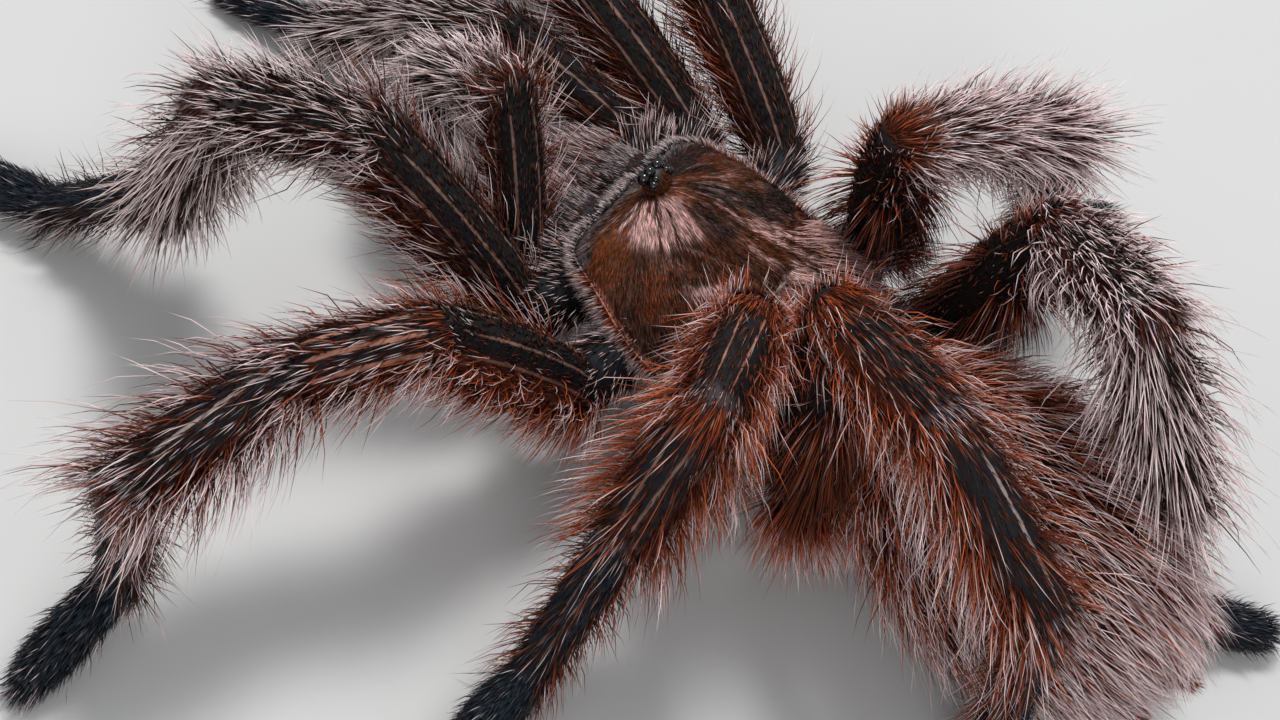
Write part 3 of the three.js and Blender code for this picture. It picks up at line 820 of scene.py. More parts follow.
def build_skin():
    parts = [bar(tube) for tube in (*SEGMENTS, *TUBES)]
    parts.append(ellipsoid(at(0, 0, STERNUM.up), STERNUM.half, "sternum"))
    parts.append(closed_ball(abdomen_points, "abdomen"))
    points, faces = joined(parts)
    rough = bpy.data.meshes.new("rough")
    rough.from_pydata(points.tolist(), [], faces.tolist())
    maker = bpy.data.objects.new("rough", rough)
    bpy.context.scene.collection.objects.link(maker)
    remesh = maker.modifiers.new("remesh", "REMESH")
    remesh.mode, remesh.voxel_size = "VOXEL", SKIN.voxel
    smooth = maker.modifiers.new("smooth", "SMOOTH")
    smooth.factor, smooth.iterations = SKIN.smoothing, SKIN.passes
    solid = maker.evaluated_get(bpy.context.evaluated_depsgraph_get()).to_mesh()
    points = np.empty(len(solid.vertices) * 3)
    solid.vertices.foreach_get("co", points)
    quads = np.empty(len(solid.loops), dtype=np.int32)
    solid.loops.foreach_get("vertex_index", quads)
    bpy.data.objects.remove(maker)
    points = points.reshape(-1, 3)
    mesh = mesh_from("skin", points, quads.reshape(-1, 4))
    for name, values in zip(("lanes", "marks"), skin_marks(points)):
        write_attribute(mesh, name, values)
    nodes = [segment.node for segment in SEGMENTS] + ["sternum_and_coxae", "abdomen"]
    nodes += [f"{kind}_{side}" for kind in ("chelicera", "spinneret") for side in SIDES]
    piece_from(mesh, skin_material(), nodes)


# ------------ hairs

# For hairs with one, two or three rings: how thick they are at each ring, and where it is along them.
TIP_TAPER = {1: (1.0,), 2: (1.0, 0.72), 3: (1.0, 0.82, 0.5)}
RING_PLACES = {1: (0.0,), 2: (0.0, 0.5), 3: (0.0, 0.36, 0.7)}
CEILING = cad_box[1][2] / MM + 0.6  # the height that no hair passes
FLOOR_GAP, FLOOR_SPREAD = 0.06, 0.03  # the lowest tips lie this far over the floor
PATCH = 0.003  # side of a hair's place on the map
PALEST = 1.5  # the most that a value of the coat may be
RADIUS = Sizes(
    long=0.047, medium=0.043, velvet=0.042, joint=0.044, shell=0.03, mound=0.022, rear=0.038, fringe=0.04,
    shag=0.043,
)
VEIL_RADIUS = Sizes(long=0.014, medium=0.013)  # how much thicker combed, pale hair is
DEPTH = Sizes(long=0.1, medium=0.08, velvet=0.05, abdomen=0.1, body=0.08)  # of the roots in the skin


def jittered(directions, spread):
    return unit(directions + rng.normal(0, spread, directions.shape))


def two_tone(bright, light, dark):
    """Paleness drawn from the range light where bright is true and from dark elsewhere."""
    return np.where(bright, rng.uniform(*light, len(bright)), rng.uniform(*dark, len(bright)))


def hairs(roots, start_way, end_way, length, radius, facts, patch, rings):
    """Tapered three-sided hairs that start along start_way and bend to end_way."""
    count, size = len(roots), 3 * rings + 1
    start_way, end_way = unit(start_way), unit(end_way)
    climb = length * (start_way + end_way)[:, 2] / 2
    length = (length * np.clip((CEILING - roots[:, 2]) / np.maximum(climb, 0.01), 0, 1))[:, None]
    side = unit(np.cross(start_way, end_way + rng.normal(0, 0.05, end_way.shape)))
    blocks, along = [], []
    for place, taper in zip(RING_PLACES[rings], TIP_TAPER[rings]):
        centre = roots + length * (start_way * place + (end_way - start_way) * place**2 / 2)
        tangent = unit(start_way + (end_way - start_way) * place)
        other = np.cross(tangent, side)
        for corner, turn in enumerate(full_turn(3)):
            blocks.append(centre + radius * taper * (np.cos(turn) * side + np.sin(turn) * other))
            along.append((place, corner / 2))
    blocks.append(roots + length * (start_way + end_way) / 2)
    along = np.array([*along, (1.0, 0.5)])
    points = np.stack(blocks, 1).reshape(-1, 3)
    points[:, 2] = np.maximum(points[:, 2], FLOOR_GAP + FLOOR_SPREAD * rng.random(len(points)))
    pattern, top = [(0, 2, 1)], (rings - 1) * 3
    for ring in range(rings - 1):
        for corner in range(3):
            a, b = ring * 3 + corner, ring * 3 + (corner + 1) % 3
            pattern += [(a, b, b + 3), (a, b + 3, a + 3)]
    pattern += [(top + corner, top + (corner + 1) % 3, size - 1) for corner in range(3)]
    faces = (np.array(pattern)[None] + (np.arange(count) * size)[:, None, None]).reshape(-1, 3)
    colour = np.empty((count, size, 4))
    colour[:, :, 0] = along[:, 0]
    for channel, values in enumerate(facts, start=1):
        colour[:, :, channel] = np.broadcast_to(values, count)[:, None]
    uv = patch[:, None, :] + PATCH * (along[None, :, ::-1] - 0.5)
    return points, faces, colour.reshape(-1, 4), uv.reshape(-1, 2)


def coat_piece(name, batches, material):
    points, faces = joined([batch[:2] for batch in batches])
    colours, uvs = (np.concatenate([batch[part] for batch in batches]) for part in (2, 3))
    mesh = mesh_from(name, points, faces)
    write_attribute(mesh, "coat", np.clip(colours, 0, PALEST))
    layer = mesh.uv_layers.new(name="OFBake")
    layer.data.foreach_set("uv", np.clip(uvs, 0, 1)[faces.ravel()].astype(np.float32).ravel())
    piece_from(mesh, material)


def grown(tube, share, angle, depth, start, end, length, radius, facts, rings):
    """Hairs at places on a tube, rooted at a depth in its bare surface."""
    patch = np.stack([tube.before + share * tube.portion, angle / (2 * np.pi) + 0.5], -1)
    return hairs(tube.surface(share, angle, -depth), start, end, length, radius, facts, patch, rings)


# ------------ coat of the limbs

# How many long, medium and velvet hairs a limb of each kind has, before their densities.
BUDGETS = {"palp": (1500, 1250, 4200), "leg": (2880, 2250, 8000)}
# Long side hairs: length in mm, density on this segment, rise from the skin at each end of the segment,
# rise of their tips, and how many stand on its back.
LONG = {
    "femur": (4.6, 1.0, (62, 46), 22, 0.03),
    "patella": (4.1, 1.15, (66, 50), 22, 0.10),
    "tibia": (5.6, 1.3, (74, 50), 26, 0.10),
    "metatarsus": (3.8, 0.75, (66, 46), 24, 0.12),
    "tarsus": (2.0, 0.35, (52, 42), 24, 0.5),
}
# Medium hairs: length, density and how many stand on the back, here and where frost covers it.
MEDIUM = {
    "femur": (1.7, 0.75, 0.05, 0.0),
    "patella": (2.3, 1.2, 0.12, 0.85),
    "tibia": (2.2, 1.0, 0.12, 0.65),
    "metatarsus": (1.9, 1.0, 0.3, 0.0),
    "tarsus": (1.5, 1.2, 0.9, 0.0),
}
BUSHY_KNEE, BUSHY_DORSAL = "leg4_left_patella", 0.7
VELVET_LENGTH = {"femur": 0.95, "patella": 0.95, "tibia": 0.95, "metatarsus": 1.05, "tarsus": 1.3}
PALE_FOOT = {"metatarsus": 0.2, "tarsus": 0.30}
# Hairs over the outside of a bend: how many where it is 60 degrees, length, rings, paleness and lift.
JOINT_HAIRS = ((410, 1.05, 1, 0.25, 0.5), (190, 2.3, 2, 0.75, 0.8))
STRIPE_MARGIN, PAST_END, TRIES = 0.03, 1.0, 4


def scattered(segment, count, weight):
    """Places clear of a segment's stripes and up to 1 mm past its ends, thinned out where weight is low."""
    over = PAST_END / segment.length
    share, angle = np.empty(0), np.empty(0)
    while len(share) < count:
        s = rng.uniform(-over, 1 + over, count * TRIES)
        a = rng.uniform(-np.pi, np.pi, count * TRIES)
        clear = stripe_gap(segment, s, a) > -STRIPE_MARGIN
        keep = rng.random(count * TRIES) < weight(s, np.abs(a)) * clear
        share, angle = np.append(share, s[keep]), np.append(angle, a[keep])
    return share[:count], angle[:count]


def long_hairs(segment, budget):
    """Long hairs of the sides and underside, which hang down from the raised hind thighs."""
    mean, density, (rise_start, rise_end), settle, dorsal = LONG[segment.name]
    veil, black_flank = segment.veil, segment.black > 1
    dorsal += (0.8 - dorsal) * veil**2
    edge = min(segment.black, BLACK_THIGH["leg3"])
    evenness = 0.95 if black_flank else 0.6

    def weight(share, round_it):
        crest = bump_curve(round_it - 0.8, 0.3) * black_flank
        flank = np.maximum(smoothstep(round_it, edge, edge + 0.6), crest)
        return (dorsal + (1 - dorsal) * flank) * (evenness + (1 - evenness) * share)

    count = int(budget * segment.portion * (density + 0.5 * black_flank))
    share, angle = scattered(segment, count, weight)
    length = mean * segment.size * rng.uniform(0.55, 1.2, count)
    length *= 1 - 0.2 * smoothstep(np.abs(angle), 2.2, 3.0)
    length *= np.where(rng.random(count) > 0.93, 1.3, 1.0)
    raised = black_flank and segment.axis[2] > 0.6
    hang = (1 - smoothstep(share, 0.45, 0.8)) * raised
    if black_flank:
        length *= 1 - 0.5 * smoothstep(share, 0.55, 0.95)
    rise = rise_start + (rise_end - rise_start) * share + rng.normal(0, 8, count)
    start = jittered(segment.lie(angle, rise), 0.11)
    end = jittered(segment.lie(angle, settle + rng.normal(0, 9, count)), 0.17)
    end[:, 2] -= 0.12 + 0.1 * segment.hind
    down = segment.outward(angle) - 0.9 * UP
    start = jittered(start + hang[:, None] * (down - start), 0.06)
    end = jittered(end + hang[:, None] * (down - 1.6 * UP - end), 0.1)
    rust = coat_rust(segment) * rng.uniform(0.5, 1.15, count)
    bright = 0.48 if RUST[segment.key] > 0.9 else 0.62
    bright += (0.92 - bright) * veil
    pale = two_tone(rng.random(count) < bright, (0.7, 1.15), (0.0, 0.45)) * (1 + 0.55 * veil)
    droop = hang * smoothstep(share, 0.05, 0.2)
    facts = (rust * (1 - 0.55 * droop), pale * (1 - 0.7 * droop), light_chance(segment, count))
    rings = 3 if segment.name in ("femur", "tibia") else 2
    radius = RADIUS.long + VEIL_RADIUS.long * veil
    return grown(segment, share, angle, DEPTH.long, start, end, length, radius, facts, rings)


def medium_hairs(segment, budget):
    """Curved hairs, palest on the knees and at the far end of each segment."""
    mean, density, dorsal, frosted = MEDIUM[segment.name]
    veil = segment.veil
    mean, density, dorsal = mean + 0.8 * veil, density + 0.7 * veil, dorsal + (1 - dorsal) * veil * frosted
    if segment.node == BUSHY_KNEE:
        dorsal = BUSHY_DORSAL

    def weight(share, round_it):
        flank, ring = smoothstep(round_it, 0.6, 1.2), smoothstep(share, 0.84, 0.96)
        return dorsal + (1 - dorsal) * np.maximum(flank, ring)

    count = int(budget * segment.portion * density)
    share, angle = scattered(segment, count, weight)
    length = mean * segment.size * rng.uniform(0.55, 1.25, count)
    start = jittered(segment.lie(angle, rng.normal(30, 7, count)), 0.09)
    end = jittered(segment.lie(angle, 6), 0.11)
    ring = smoothstep(share, 0.84, 0.96)
    cover = veil * (rng.random(count) > 0.2)
    pale = np.clip(rng.uniform(0.1, 0.7, count) + 0.35 * ring + 1.05 * cover, 0, 1.6)
    rust = coat_rust(segment) * rng.uniform(0.2, 0.9, count) * (1 - 0.8 * ring) * (1 - 0.5 * cover)
    facts = (rust * (segment.name != "tarsus"), pale, light_chance(segment, count))
    radius = RADIUS.medium + VEIL_RADIUS.medium * veil
    return grown(segment, share, angle, DEPTH.medium, start, end, length, radius, facts, 2)


def velvet_hairs(segment, budget):
    """Short velvet all over, combed flat, with a paler ring at the far end."""
    name, veil, rust_of = segment.name, segment.veil, coat_rust(segment)
    count = int(budget * segment.portion * (1.4 if name == "tarsus" else 1.0))
    share, angle = scattered(segment, count, lambda share, round_it: 1.0)
    length = VELVET_LENGTH[name] * segment.size * rng.uniform(0.7, 1.25, count)
    way = jittered(segment.lie(angle, 20), 0.09)
    side = smoothstep(np.abs(angle), segment.black + 0.05, segment.black + 0.75)
    fiery = (rng.random(count) < (0.5 if segment.hind else 0.35)) * rng.uniform(0.15, 0.6, count) ** 1.3
    rust = rust_of * side * rng.uniform(0.1, 0.8, count)
    if name not in PALE_FOOT:
        rust = np.maximum(rust, 0.12 + fiery * (0.35 + 0.65 * rust_of))
    ring = smoothstep(share, 0.93, 0.97) * (name in ("patella", "tibia", "metatarsus"))
    rust = np.maximum(rust, 0.55 * ring * rust_of)
    pale = 0.7 * ring + PALE_FOOT.get(name, 0.0) * rng.uniform(0.2, 1.6, count)
    pale = pale + 0.3 * (rng.random(count) > 0.93)
    pale = np.clip(pale + 1.4 * veil**2 * (rng.random(count) > 0.35), 0, 1.6)
    facts = (rust, pale, rng.random(count))
    return grown(segment, share, angle, DEPTH.velvet, way, way, length, RADIUS.velvet, facts, 1)


def coat_rust(segment):
    """Rust of the hair, which the frost greys down past the knee."""
    return segment.rust * (1 - 0.45 * segment.frost * (segment.name in ("patella", "tibia", "metatarsus")))


def light_chance(segment, count):
    """Chance values, drawn towards light where frost veils the segment."""
    return rng.random(count) ** (1 - 0.7 * segment.veil)


def joint_hairs(near, far, per_bend, mean, rings, paleness, lift):
    bend = near.axis - far.axis
    amount = float(np.linalg.norm(bend))
    count = int(per_bend * amount)
    way = unit(rng.normal(0, 1, (count * TRIES, 3)))
    way = way[way @ (bend / amount) > 0.15][:count]
    count = len(way)
    roots = near.end + way * (min(near.radii[-1], far.radii[0]) * 0.93)
    start = jittered(lift * way + far.axis, 0.11)
    end = jittered(0.2 * way + far.axis, 0.11)
    length = mean * near.size * rng.uniform(0.6, 1.25, count)
    rust = near.rust * rng.uniform(0.1, 1.0, count)
    pale = paleness * (1 - 0.5 * near.rust) * rng.uniform(0.3, 1.2, count)
    patch = np.stack([np.full(count, far.before), 0.5 + 0.4 * way[:, 0]], -1)
    return hairs(roots, start, end, length, RADIUS.joint, (rust, pale, rng.random(count)), patch, rings)


def limb_coat(key):
    limb, kinds = LIMBS[key], (long_hairs, medium_hairs, velvet_hairs)
    budgets = BUDGETS["palp" if key.startswith("palp") else "leg"]
    batches = [grow(segment, budget) for segment in limb for grow, budget in zip(kinds, budgets)]
    for near, far in zip(limb[:-1], limb[1:]):
        batches += [joint_hairs(near, far, *kind) for kind in JOINT_HAIRS]
    return batches


# ------------ coat of the abdomen

# Count, length, rings, radius and rise of its long and medium hairs.
ABDOMEN_HAIRS = ((7000, 5.6, 3, 0.054, 46), (4200, 2.4, 2, 0.05, 32))
STRAIGHT_BACK = swung(np.array([[0.0, 1.0, -0.12]]))
STEP = 0.01  # for slopes of a surface, in share or radians


def abdomen_hairs(count, mean, rings, radius, rise):
    theta = np.arccos(rng.uniform(-1, 1, count * 2))
    phi = rng.uniform(-np.pi, np.pi, count * 2)
    keep = rng.random(count * 2) < 1 - 0.72 * smoothstep(np.abs(phi), 1.9, 2.6)
    theta, phi = theta[keep][:count], phi[keep][:count]
    count = len(theta)
    ahead = unit(abdomen_points(np.minimum(theta + STEP, np.pi), phi) - abdomen_points(theta - STEP, phi))
    around = unit(abdomen_points(theta, phi + STEP) - abdomen_points(theta, phi - STEP))
    normal = unit(np.cross(around, ahead))
    rise = np.radians(rng.normal(rise, 9, count))[:, None]
    start = jittered(np.sin(rise) * normal + np.cos(rise) * ahead, 0.14)
    end = jittered(0.8 * ahead + 0.25 * STRAIGHT_BACK + 0.22 * normal, 0.26)
    length = mean * rng.uniform(0.5, 1.15, count) * (1 - 0.35 * smoothstep(theta, 2.5, 3.1))
    length *= 0.75 + 0.25 * smoothstep(theta, 0.3, 0.9)
    rearward = smoothstep(theta, 0.9, 2.4)
    if rings == 3:
        bright = rng.random(count) < 0.5 + 0.4 * rearward
        rust = rng.uniform(0.3, 1.0, count) * (1 - 0.3 * rearward)
        pale = two_tone(bright, (0.8, 1.4), (0.0, 0.45))
    else:
        rust = rng.uniform(0.1, 0.55, count)
        pale = rng.uniform(0.0, 0.45, count)
    patch = np.stack([theta / np.pi, phi / (2 * np.pi) + 0.5], -1)
    roots = abdomen_points(theta, phi, DEPTH.abdomen)
    return hairs(roots, start, end, length, radius, (rust, pale, rng.random(count)), patch, rings)


# ------------ coat of the shell

SHELL_HAIRS = Sizes(short=25000, mound=900, rear=1700, fringe=4000)
SHELL_MAP = (24, 26)  # width and length of the unwrap of the shell, in mm
TABLE = 4096
# Painted highlights in the shell's hair: pink sheen patches and how strongly each pales the hair.
SHEENS = {"flank_sheen": 0.45, "rear_sheen": 0.35, "flank_line": 0.7}


def clumped(across, along, width, reach):
    """A random value for each strand about width wide and reach long, shared by the hairs in it."""
    table = rng.random(TABLE)
    lane = np.floor(across / width + 0.3 * rng.normal(0, 1, len(across))).astype(int)
    step = np.floor(along / reach + table[(lane * 37) % TABLE] * 3).astype(int)
    return table[(lane * 131 + step * 17) % TABLE]


def shell_spots(count, low, high, centre=0.0, spread=np.pi):
    """Places on the shell, evenly strewn between two shares of its rim and round a direction."""
    angle = np.empty(0)
    while len(angle) < count:
        tried = centre + rng.uniform(-spread, spread, count)
        angle = np.append(angle, tried[rng.random(count) < (rim_reach(tried) / RIM_REACH.max()) ** 2])
    return np.sqrt(rng.uniform(low**2, high**2, count)), angle[:count]


def shell_frame(share, angle):
    """Points on the shell with its normals and the way the hair lies: away from the eyes, fanned behind."""
    roots = carapace_point(share, angle)
    inner, outer = np.maximum(share - STEP, 0), np.minimum(share + STEP, 1)
    outward = carapace_point(outer, angle) - carapace_point(inner, angle)
    around = carapace_point(share, angle + STEP) - carapace_point(share, angle - STEP)
    normal = unit(np.cross(outward, around))
    normal = normal * np.sign(normal[:, 2:])
    from_eyes = unit((roots - at(0, TUBERCLE.forward + 0.6, 0)) * [1, 1, 0])
    fanned = unit((roots - at(0, 4.5, 0)) * [1, 1, 0])
    rear = smoothstep(roots[:, 1], -3.0, 4.0)[:, None]
    brow = smoothstep(-roots[:, 1], 8.2, 9.6)[:, None]
    lie = from_eyes * (1 - rear) + fanned * rear + 1.2 * brow * at(0, 1, 0)
    lie = unit(lie - np.sum(lie * normal, 1, keepdims=True) * normal)
    return roots, normal, lie


def shell_hairs(roots, start, end, length, radius, facts, rings):
    patch = np.stack([roots[:, 0] / SHELL_MAP[0] + 0.5, roots[:, 1] / SHELL_MAP[1] + 0.5], -1)
    return hairs(roots, start, end, length, radius, facts, patch, rings)


def short_shell_hair():
    """Short hair all over, with painted pink sheen beside the eyes, flecks, an ember behind them and a bright
    rim.
    """
    share, angle = shell_spots(SHELL_HAIRS.short, 0.02, 0.975)
    eyes_away = np.hypot(*(carapace_point(share, angle)[:, :2] + [0, TUBERCLE.forward]).T)
    share, angle = share[eyes_away > 0.8], angle[eyes_away > 0.8]
    roots, normal, lie = shell_frame(share, angle)
    count, side, forward = len(roots), roots[:, 0], -roots[:, 1]
    start = jittered(lie + 0.15 * normal, 0.06)
    end = jittered(lie + 0.01 * normal, 0.05)
    rearward = smoothstep(-forward, 4.0, 9.5)
    length = rng.uniform(0.7, 1.3, count) * (1 + 0.5 * rearward)
    turn = np.arctan2(side, TUBERCLE.forward - forward)
    span = np.hypot(side, forward - TUBERCLE.forward)
    strand = clumped(turn * 4.0, span, 0.2, 2.2)
    broad = clumped(turn * 4.0, span, 0.8, 3.5)
    # Painted highlight: streaks of pale pink sheen left of the eyes, on the flanks and at the rear, added to
    # the hair's paleness below.
    sheen = bump_curve(turn - 0.85, 0.6) * smoothstep(span, 0.9, 1.6) * (1 - smoothstep(span, 4.0, 5.6))
    for name, strength in SHEENS.items():
        sheen = np.maximum(sheen, strength * patch_on_shell(name, side, forward))
    ember = patch_on_shell("ember", side, forward)
    flank = smoothstep(side, 1.0, 5.0) * smoothstep(forward, -1.0, 3.0)
    rust = rng.uniform(0.16, 0.46, count) + 0.45 * (broad - 0.5) + 0.25 * rearward + 0.08 * flank
    rust = np.clip(np.maximum(rust, ember * rng.uniform(0.5, 1.1, count)), 0, 1)
    fleck = 0.6 * (strand > 0.62) * patch_on_shell("flecks", side, forward)
    pale = rng.uniform(0.0, 0.2, count) + 0.3 * (strand > 0.9) + 0.25 * ember + 0.2 * rearward + fleck
    pale = np.clip(pale + 1.35 * sheen * smoothstep(strand, 0.12, 0.3), 0, 1.1)
    brow = smoothstep(forward, 7.8, 9.2) * smoothstep(share, 0.86, 0.93)
    glow = smoothstep(share, 0.94, 0.965) * smoothstep(np.abs(side), 1.0, 4.0)
    glow = glow * smoothstep(forward, -5.0, -1.0) * (1 - brow) * rng.uniform(0.6, 1.1, count)
    rust, pale = np.maximum(rust, 0.9 * glow), np.maximum(pale, 0.75 * glow)
    rust, pale = rust * (1 - brow), pale + (0.62 - pale) * brow
    shade = np.clip(0.6 * strand + 0.5 * rng.random(count), 0, 1)
    return shell_hairs(roots, start, end, length, RADIUS.shell, (rust, pale, shade), 1)


def mound_hair():
    """Fine dark hair over the mound, between the eyes."""
    way = unit(rng.normal(0, 1, (SHELL_HAIRS.mound * 3, 3)))
    way = way[way[:, 2] > -0.4][: SHELL_HAIRS.mound]
    count = len(way)
    roots = at(0, TUBERCLE.forward, TUBERCLE.base) + way * TUBERCLE.half * 0.97
    start = jittered(0.4 * way + np.array([0, 1.0, -0.5]), 0.2)
    facts = (rng.uniform(0.1, 0.7, count), rng.uniform(0.0, 0.3, count), rng.random(count))
    return shell_hairs(roots, start, start, rng.uniform(0.25, 0.5, count), RADIUS.mound, facts, 1)


def rear_slope_hair():
    count = SHELL_HAIRS.rear
    roots, normal, lie = shell_frame(*shell_spots(count, 0.4, 1.0, np.pi, 1.5))
    start, end = jittered(lie + 0.55 * normal, 0.14), jittered(lie + 0.15 * normal, 0.14)
    facts = (rng.uniform(0.3, 0.9, count), rng.uniform(0.3, 1.3, count), rng.random(count))
    return shell_hairs(roots, start, end, rng.uniform(1.4, 2.8, count), RADIUS.rear, facts, 2)


def fringe_hair():
    """Bristles all round the rim of the shell, shortest and whitest over the face."""
    count = SHELL_HAIRS.fringe
    angle = rng.uniform(-np.pi, np.pi, count)
    angle = np.where(rng.random(count) < 0.22, rng.uniform(-0.8, 0.8, count), angle)
    roots = carapace_point(rng.uniform(0.965, 1.0, count), angle)
    roots[:, 2] -= rng.uniform(0, 0.4, count)
    rear = smoothstep(roots[:, 1], 5.0, 9.5)
    face = smoothstep(-roots[:, 1], 8.0, 9.6)
    outward = unit(roots * [1, 1, 0])
    outward = unit(outward * (1 - 0.8 * face[:, None]) + 0.8 * face[:, None] * at(0, 1, 0))
    start = jittered(outward + 0.25 * UP, 0.12)
    end = jittered(outward - 0.55 * UP + 0.3 * rear[:, None] * at(0, -1, 0), 0.14)
    length = rng.uniform(1.0, 1.8, count) * (1 + 0.7 * rear) * (1 - 0.25 * face)
    rust = np.clip(0.35 + 0.6 * rear - 0.3 * face + rng.normal(0, 0.12, count), 0, 1)
    pale = np.clip(rng.uniform(0.5, 1.1, count) - 0.3 * rear + 0.2 * face, 0, 1.15)
    return shell_hairs(roots, start, end, length, RADIUS.fringe, (rust, pale, rng.random(count)), 2)


# ------------ coat of the rest of the body

# Layers of hair on each tube of the body: count, length, rise and settling of the hair, rings, radius, ranges
# of rust and paleness, how far it is drawn to the back, and the stretch of the tube that it stands on.
LAYERS = {
    "seam": [(1100, 1.2, 20, 5, 1, 0.04, (0.0, 0.3), (0.8, 1.5), 0.5, (0.0, 1.0))],
    "chelicera": [
        (5200, 1.2, 15, 3, 1, 0.04, (0.0, 0.3), (1.0, 1.7), 0.3, (-0.2, 1.1)),
        (800, 2.2, 30, 8, 2, 0.04, (0.1, 0.5), (0.7, 1.4), 0.3, (0.2, 1.1)),
    ],
    "coxa": [
        (600, 0.9, 30, 18, 1, 0.046, (0.0, 0.2), (0.0, 0.45), 0.0, (0.0, 1.0)),
        (520, 2.0, 45, 20, 2, 0.043, (0.1, 0.5), (0.5, 1.4), 0.0, (0.3, 1.1)),
    ],
    "spinneret": [(800, 1.0, 30, 4, 1, 0.045, (0.3, 0.9), (0.0, 0.6), 0.0, (0.0, 1.12))],
    "pedicel": [(900, 1.0, 40, 25, 1, 0.045, (0.3, 0.8), (0.0, 0.5), 0.0, (0.0, 1.0))],
}
SHAGGY_RUST = 0.7  # the hips of rustier limbs have long hair
SHAG = Sizes(count=450, reach=1.9)


def tube_hairs(tube, count, mean, rise, settle, rings, radius, rust, pale, dorsal, band):
    """Hairs over one of the body's tubes, leaning along it."""
    share = rng.uniform(*band, count)
    angle = rng.uniform(-np.pi, np.pi, count)
    if dorsal:
        angle *= 1 - dorsal * rng.random(count)
    start, end = jittered(tube.lie(angle, rise), 0.12), jittered(tube.lie(angle, settle), 0.10)
    length = mean * rng.uniform(0.65, 1.25, count)
    facts = (rng.uniform(*rust, count), rng.uniform(*pale, count), rng.random(count))
    return grown(tube, share, angle, DEPTH.body, start, end, length, radius, facts, rings)


def hip_shag(key):
    """Long hair that hangs outwards and down from a hip."""
    limb, side_name = key.split("_")
    side, forward, up = HIPS[limb]
    hip = at(SIDES[side_name] * side, forward, up)
    outward = unit(hip * [1, 1, 0])
    way = unit(rng.normal(0, 1, (SHAG.count * 6, 3)) * [1, 1, 0.8])
    way = way[(way @ outward > -0.1) & (way[:, 2] < 0.45)][: SHAG.count]
    count = len(way)
    start = jittered(way + 0.3 * outward, 0.15)
    end = jittered(0.5 * way + 0.7 * outward - 0.55 * UP, 0.2)
    pale = two_tone(rng.random(count) < 0.5, (0.7, 1.1), (0.0, 0.4))
    facts = (RUST[key] * rng.uniform(0.4, 1.1, count), pale, rng.random(count))
    length, patch = rng.uniform(2.6, 5.2, count), 0.5 + 0.4 * way[:, :2]
    return hairs(hip + SHAG.reach * way, start, end, length, RADIUS.shag, facts, patch, 3)


def body_coat(*names):
    """Layers of hair on the tubes with these names, and shag on the rusty hips."""
    seam = Tube("seam", at(0, *CHELICERA.root[1:]), at(0, *CHELICERA.tip[1:]), SEAM_RADII)
    batches = []
    for tube in (seam, *TUBES):
        if tube.name in names:
            batches += [tube_hairs(tube, *layer) for layer in LAYERS[tube.name]]
            if tube.name == "coxa" and RUST[tube.key] > SHAGGY_RUST:
                batches.append(hip_shag(tube.key))
    return batches


def build_coat():
    coat = coat_material("coat", 0.5, 0.22, 0.3, PINK_WHITE, RUST_RED)
    # The shell's hair: real gloss, plus pale rose that can run from root to tip, which paints its sheen
    # streaks as painted highlight.
    satin_and_sheen = coat_material("satin_and_sheen", 0.38, 0.4, 0.85, ROSE, CHESTNUT)
    for key in LIMBS:
        coat_piece(f"coat_{key}", limb_coat(key), coat)
    coat_piece("coat_abdomen", [abdomen_hairs(*kind) for kind in ABDOMEN_HAIRS], coat)
    coat_piece("coat_carapace", [short_shell_hair(), mound_hair(), rear_slope_hair()], satin_and_sheen)
    coat_piece("coat_fringe", [fringe_hair()], coat)
    coat_piece("coat_face", body_coat("seam", "chelicera"), coat)
    coat_piece("coat_coxae", body_coat("coxa"), coat)
    coat_piece("coat_spinnerets", body_coat("spinneret", "pedicel"), coat)


# ------------ camera, lamps and floor

# The camera looks to the animal's right and down at a target: sideways, forwards and up.
CAMERA = Sizes(
    heading=73.7, down=54.5, roll=22.6, target=(11.1, 1.3, 12.0), distance=128.2,
    lens=56.25, sensor=36.0, clip=(0.005, 20.0),
)
# Direction, distance and size in metres, and power in watts.
LAMPS = {"key": ((-0.35, -0.25, 1.0), 0.45, 0.12, 1.4), "fill": ((0.9, 0.5, 0.7), 0.5, 0.3, 0.5)}
LAMP_TARGET = Vector((0, 0, 0.012))
FLOOR_HALF, SKY_STRENGTH = 3.0, 0.46


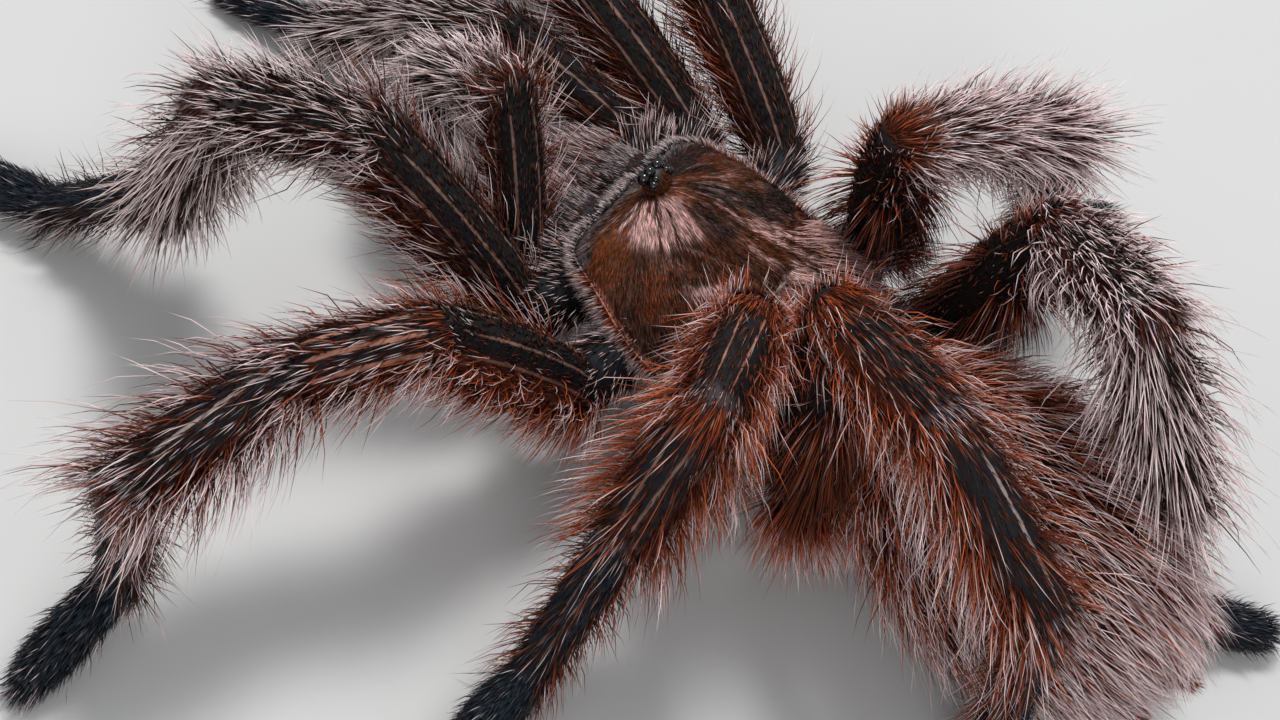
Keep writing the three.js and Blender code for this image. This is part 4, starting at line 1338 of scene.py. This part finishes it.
def build_camera():
    look = heading_vector(SIDES["right"], CAMERA.heading, -CAMERA.down)
    right = unit(np.cross(look, UP))
    above, roll = np.cross(right, look), np.radians(CAMERA.roll)
    across = np.cos(roll) * right + np.sin(roll) * above
    upright = np.cos(roll) * above - np.sin(roll) * right
    place = at(*CAMERA.target) - look * CAMERA.distance
    columns = [across, upright, -look, to_frame(place)]
    camera = bpy.data.objects.new("camera", bpy.data.cameras.new("camera"))
    camera.data.lens, camera.data.sensor_width = CAMERA.lens, CAMERA.sensor
    camera.data.clip_start, camera.data.clip_end = CAMERA.clip
    camera.matrix_world = Matrix([*np.stack(columns, 1), [0, 0, 0, 1]])
    bpy.context.scene.collection.objects.link(camera)
    bpy.context.scene.camera = camera


def build_lamp(name, direction, distance, size, power):
    data = bpy.data.lights.new(name, "AREA")
    data.shape, data.size, data.energy = "DISK", size, power
    lamp = bpy.data.objects.new(name, data)
    way = Vector(direction).normalized()
    lamp.location = LAMP_TARGET + way * distance
    lamp.rotation_euler = way.to_track_quat("Z", "Y").to_euler()
    bpy.context.scene.collection.objects.link(lamp)


def build_stage():
    n = Nodes("floor")
    shade = n.mix(n.ramp(n.noise(*NOISE.floor), 0.3, 0.7), *FLOOR_GREYS)
    n.finish(shade, 0.85, Specular_IOR_Level=0.2)
    mesh = bpy.data.meshes.new("floor")
    corners = [(x * FLOOR_HALF, y * FLOOR_HALF, 0) for x, y in ((-1, -1), (1, -1), (1, 1), (-1, 1))]
    mesh.from_pydata(corners, [], [(0, 1, 2, 3)])
    floor = bpy.data.objects.new("floor", mesh)
    mesh.materials.append(n.material)
    bpy.context.scene.collection.objects.link(floor)
    world = bpy.data.worlds.new("world")
    world.use_nodes = True
    world.node_tree.nodes["Background"].inputs["Color"].default_value = SKY
    world.node_tree.nodes["Background"].inputs["Strength"].default_value = SKY_STRENGTH
    bpy.context.scene.world = world


build_carapace()
build_eyes()
build_fangs()
build_claws()
build_skin()
build_coat()
build_camera()
for lamp_name, lamp_settings in LAMPS.items():
    build_lamp(lamp_name, *lamp_settings)
build_stage()
bpy.context.scene.view_settings.view_transform = "Standard"
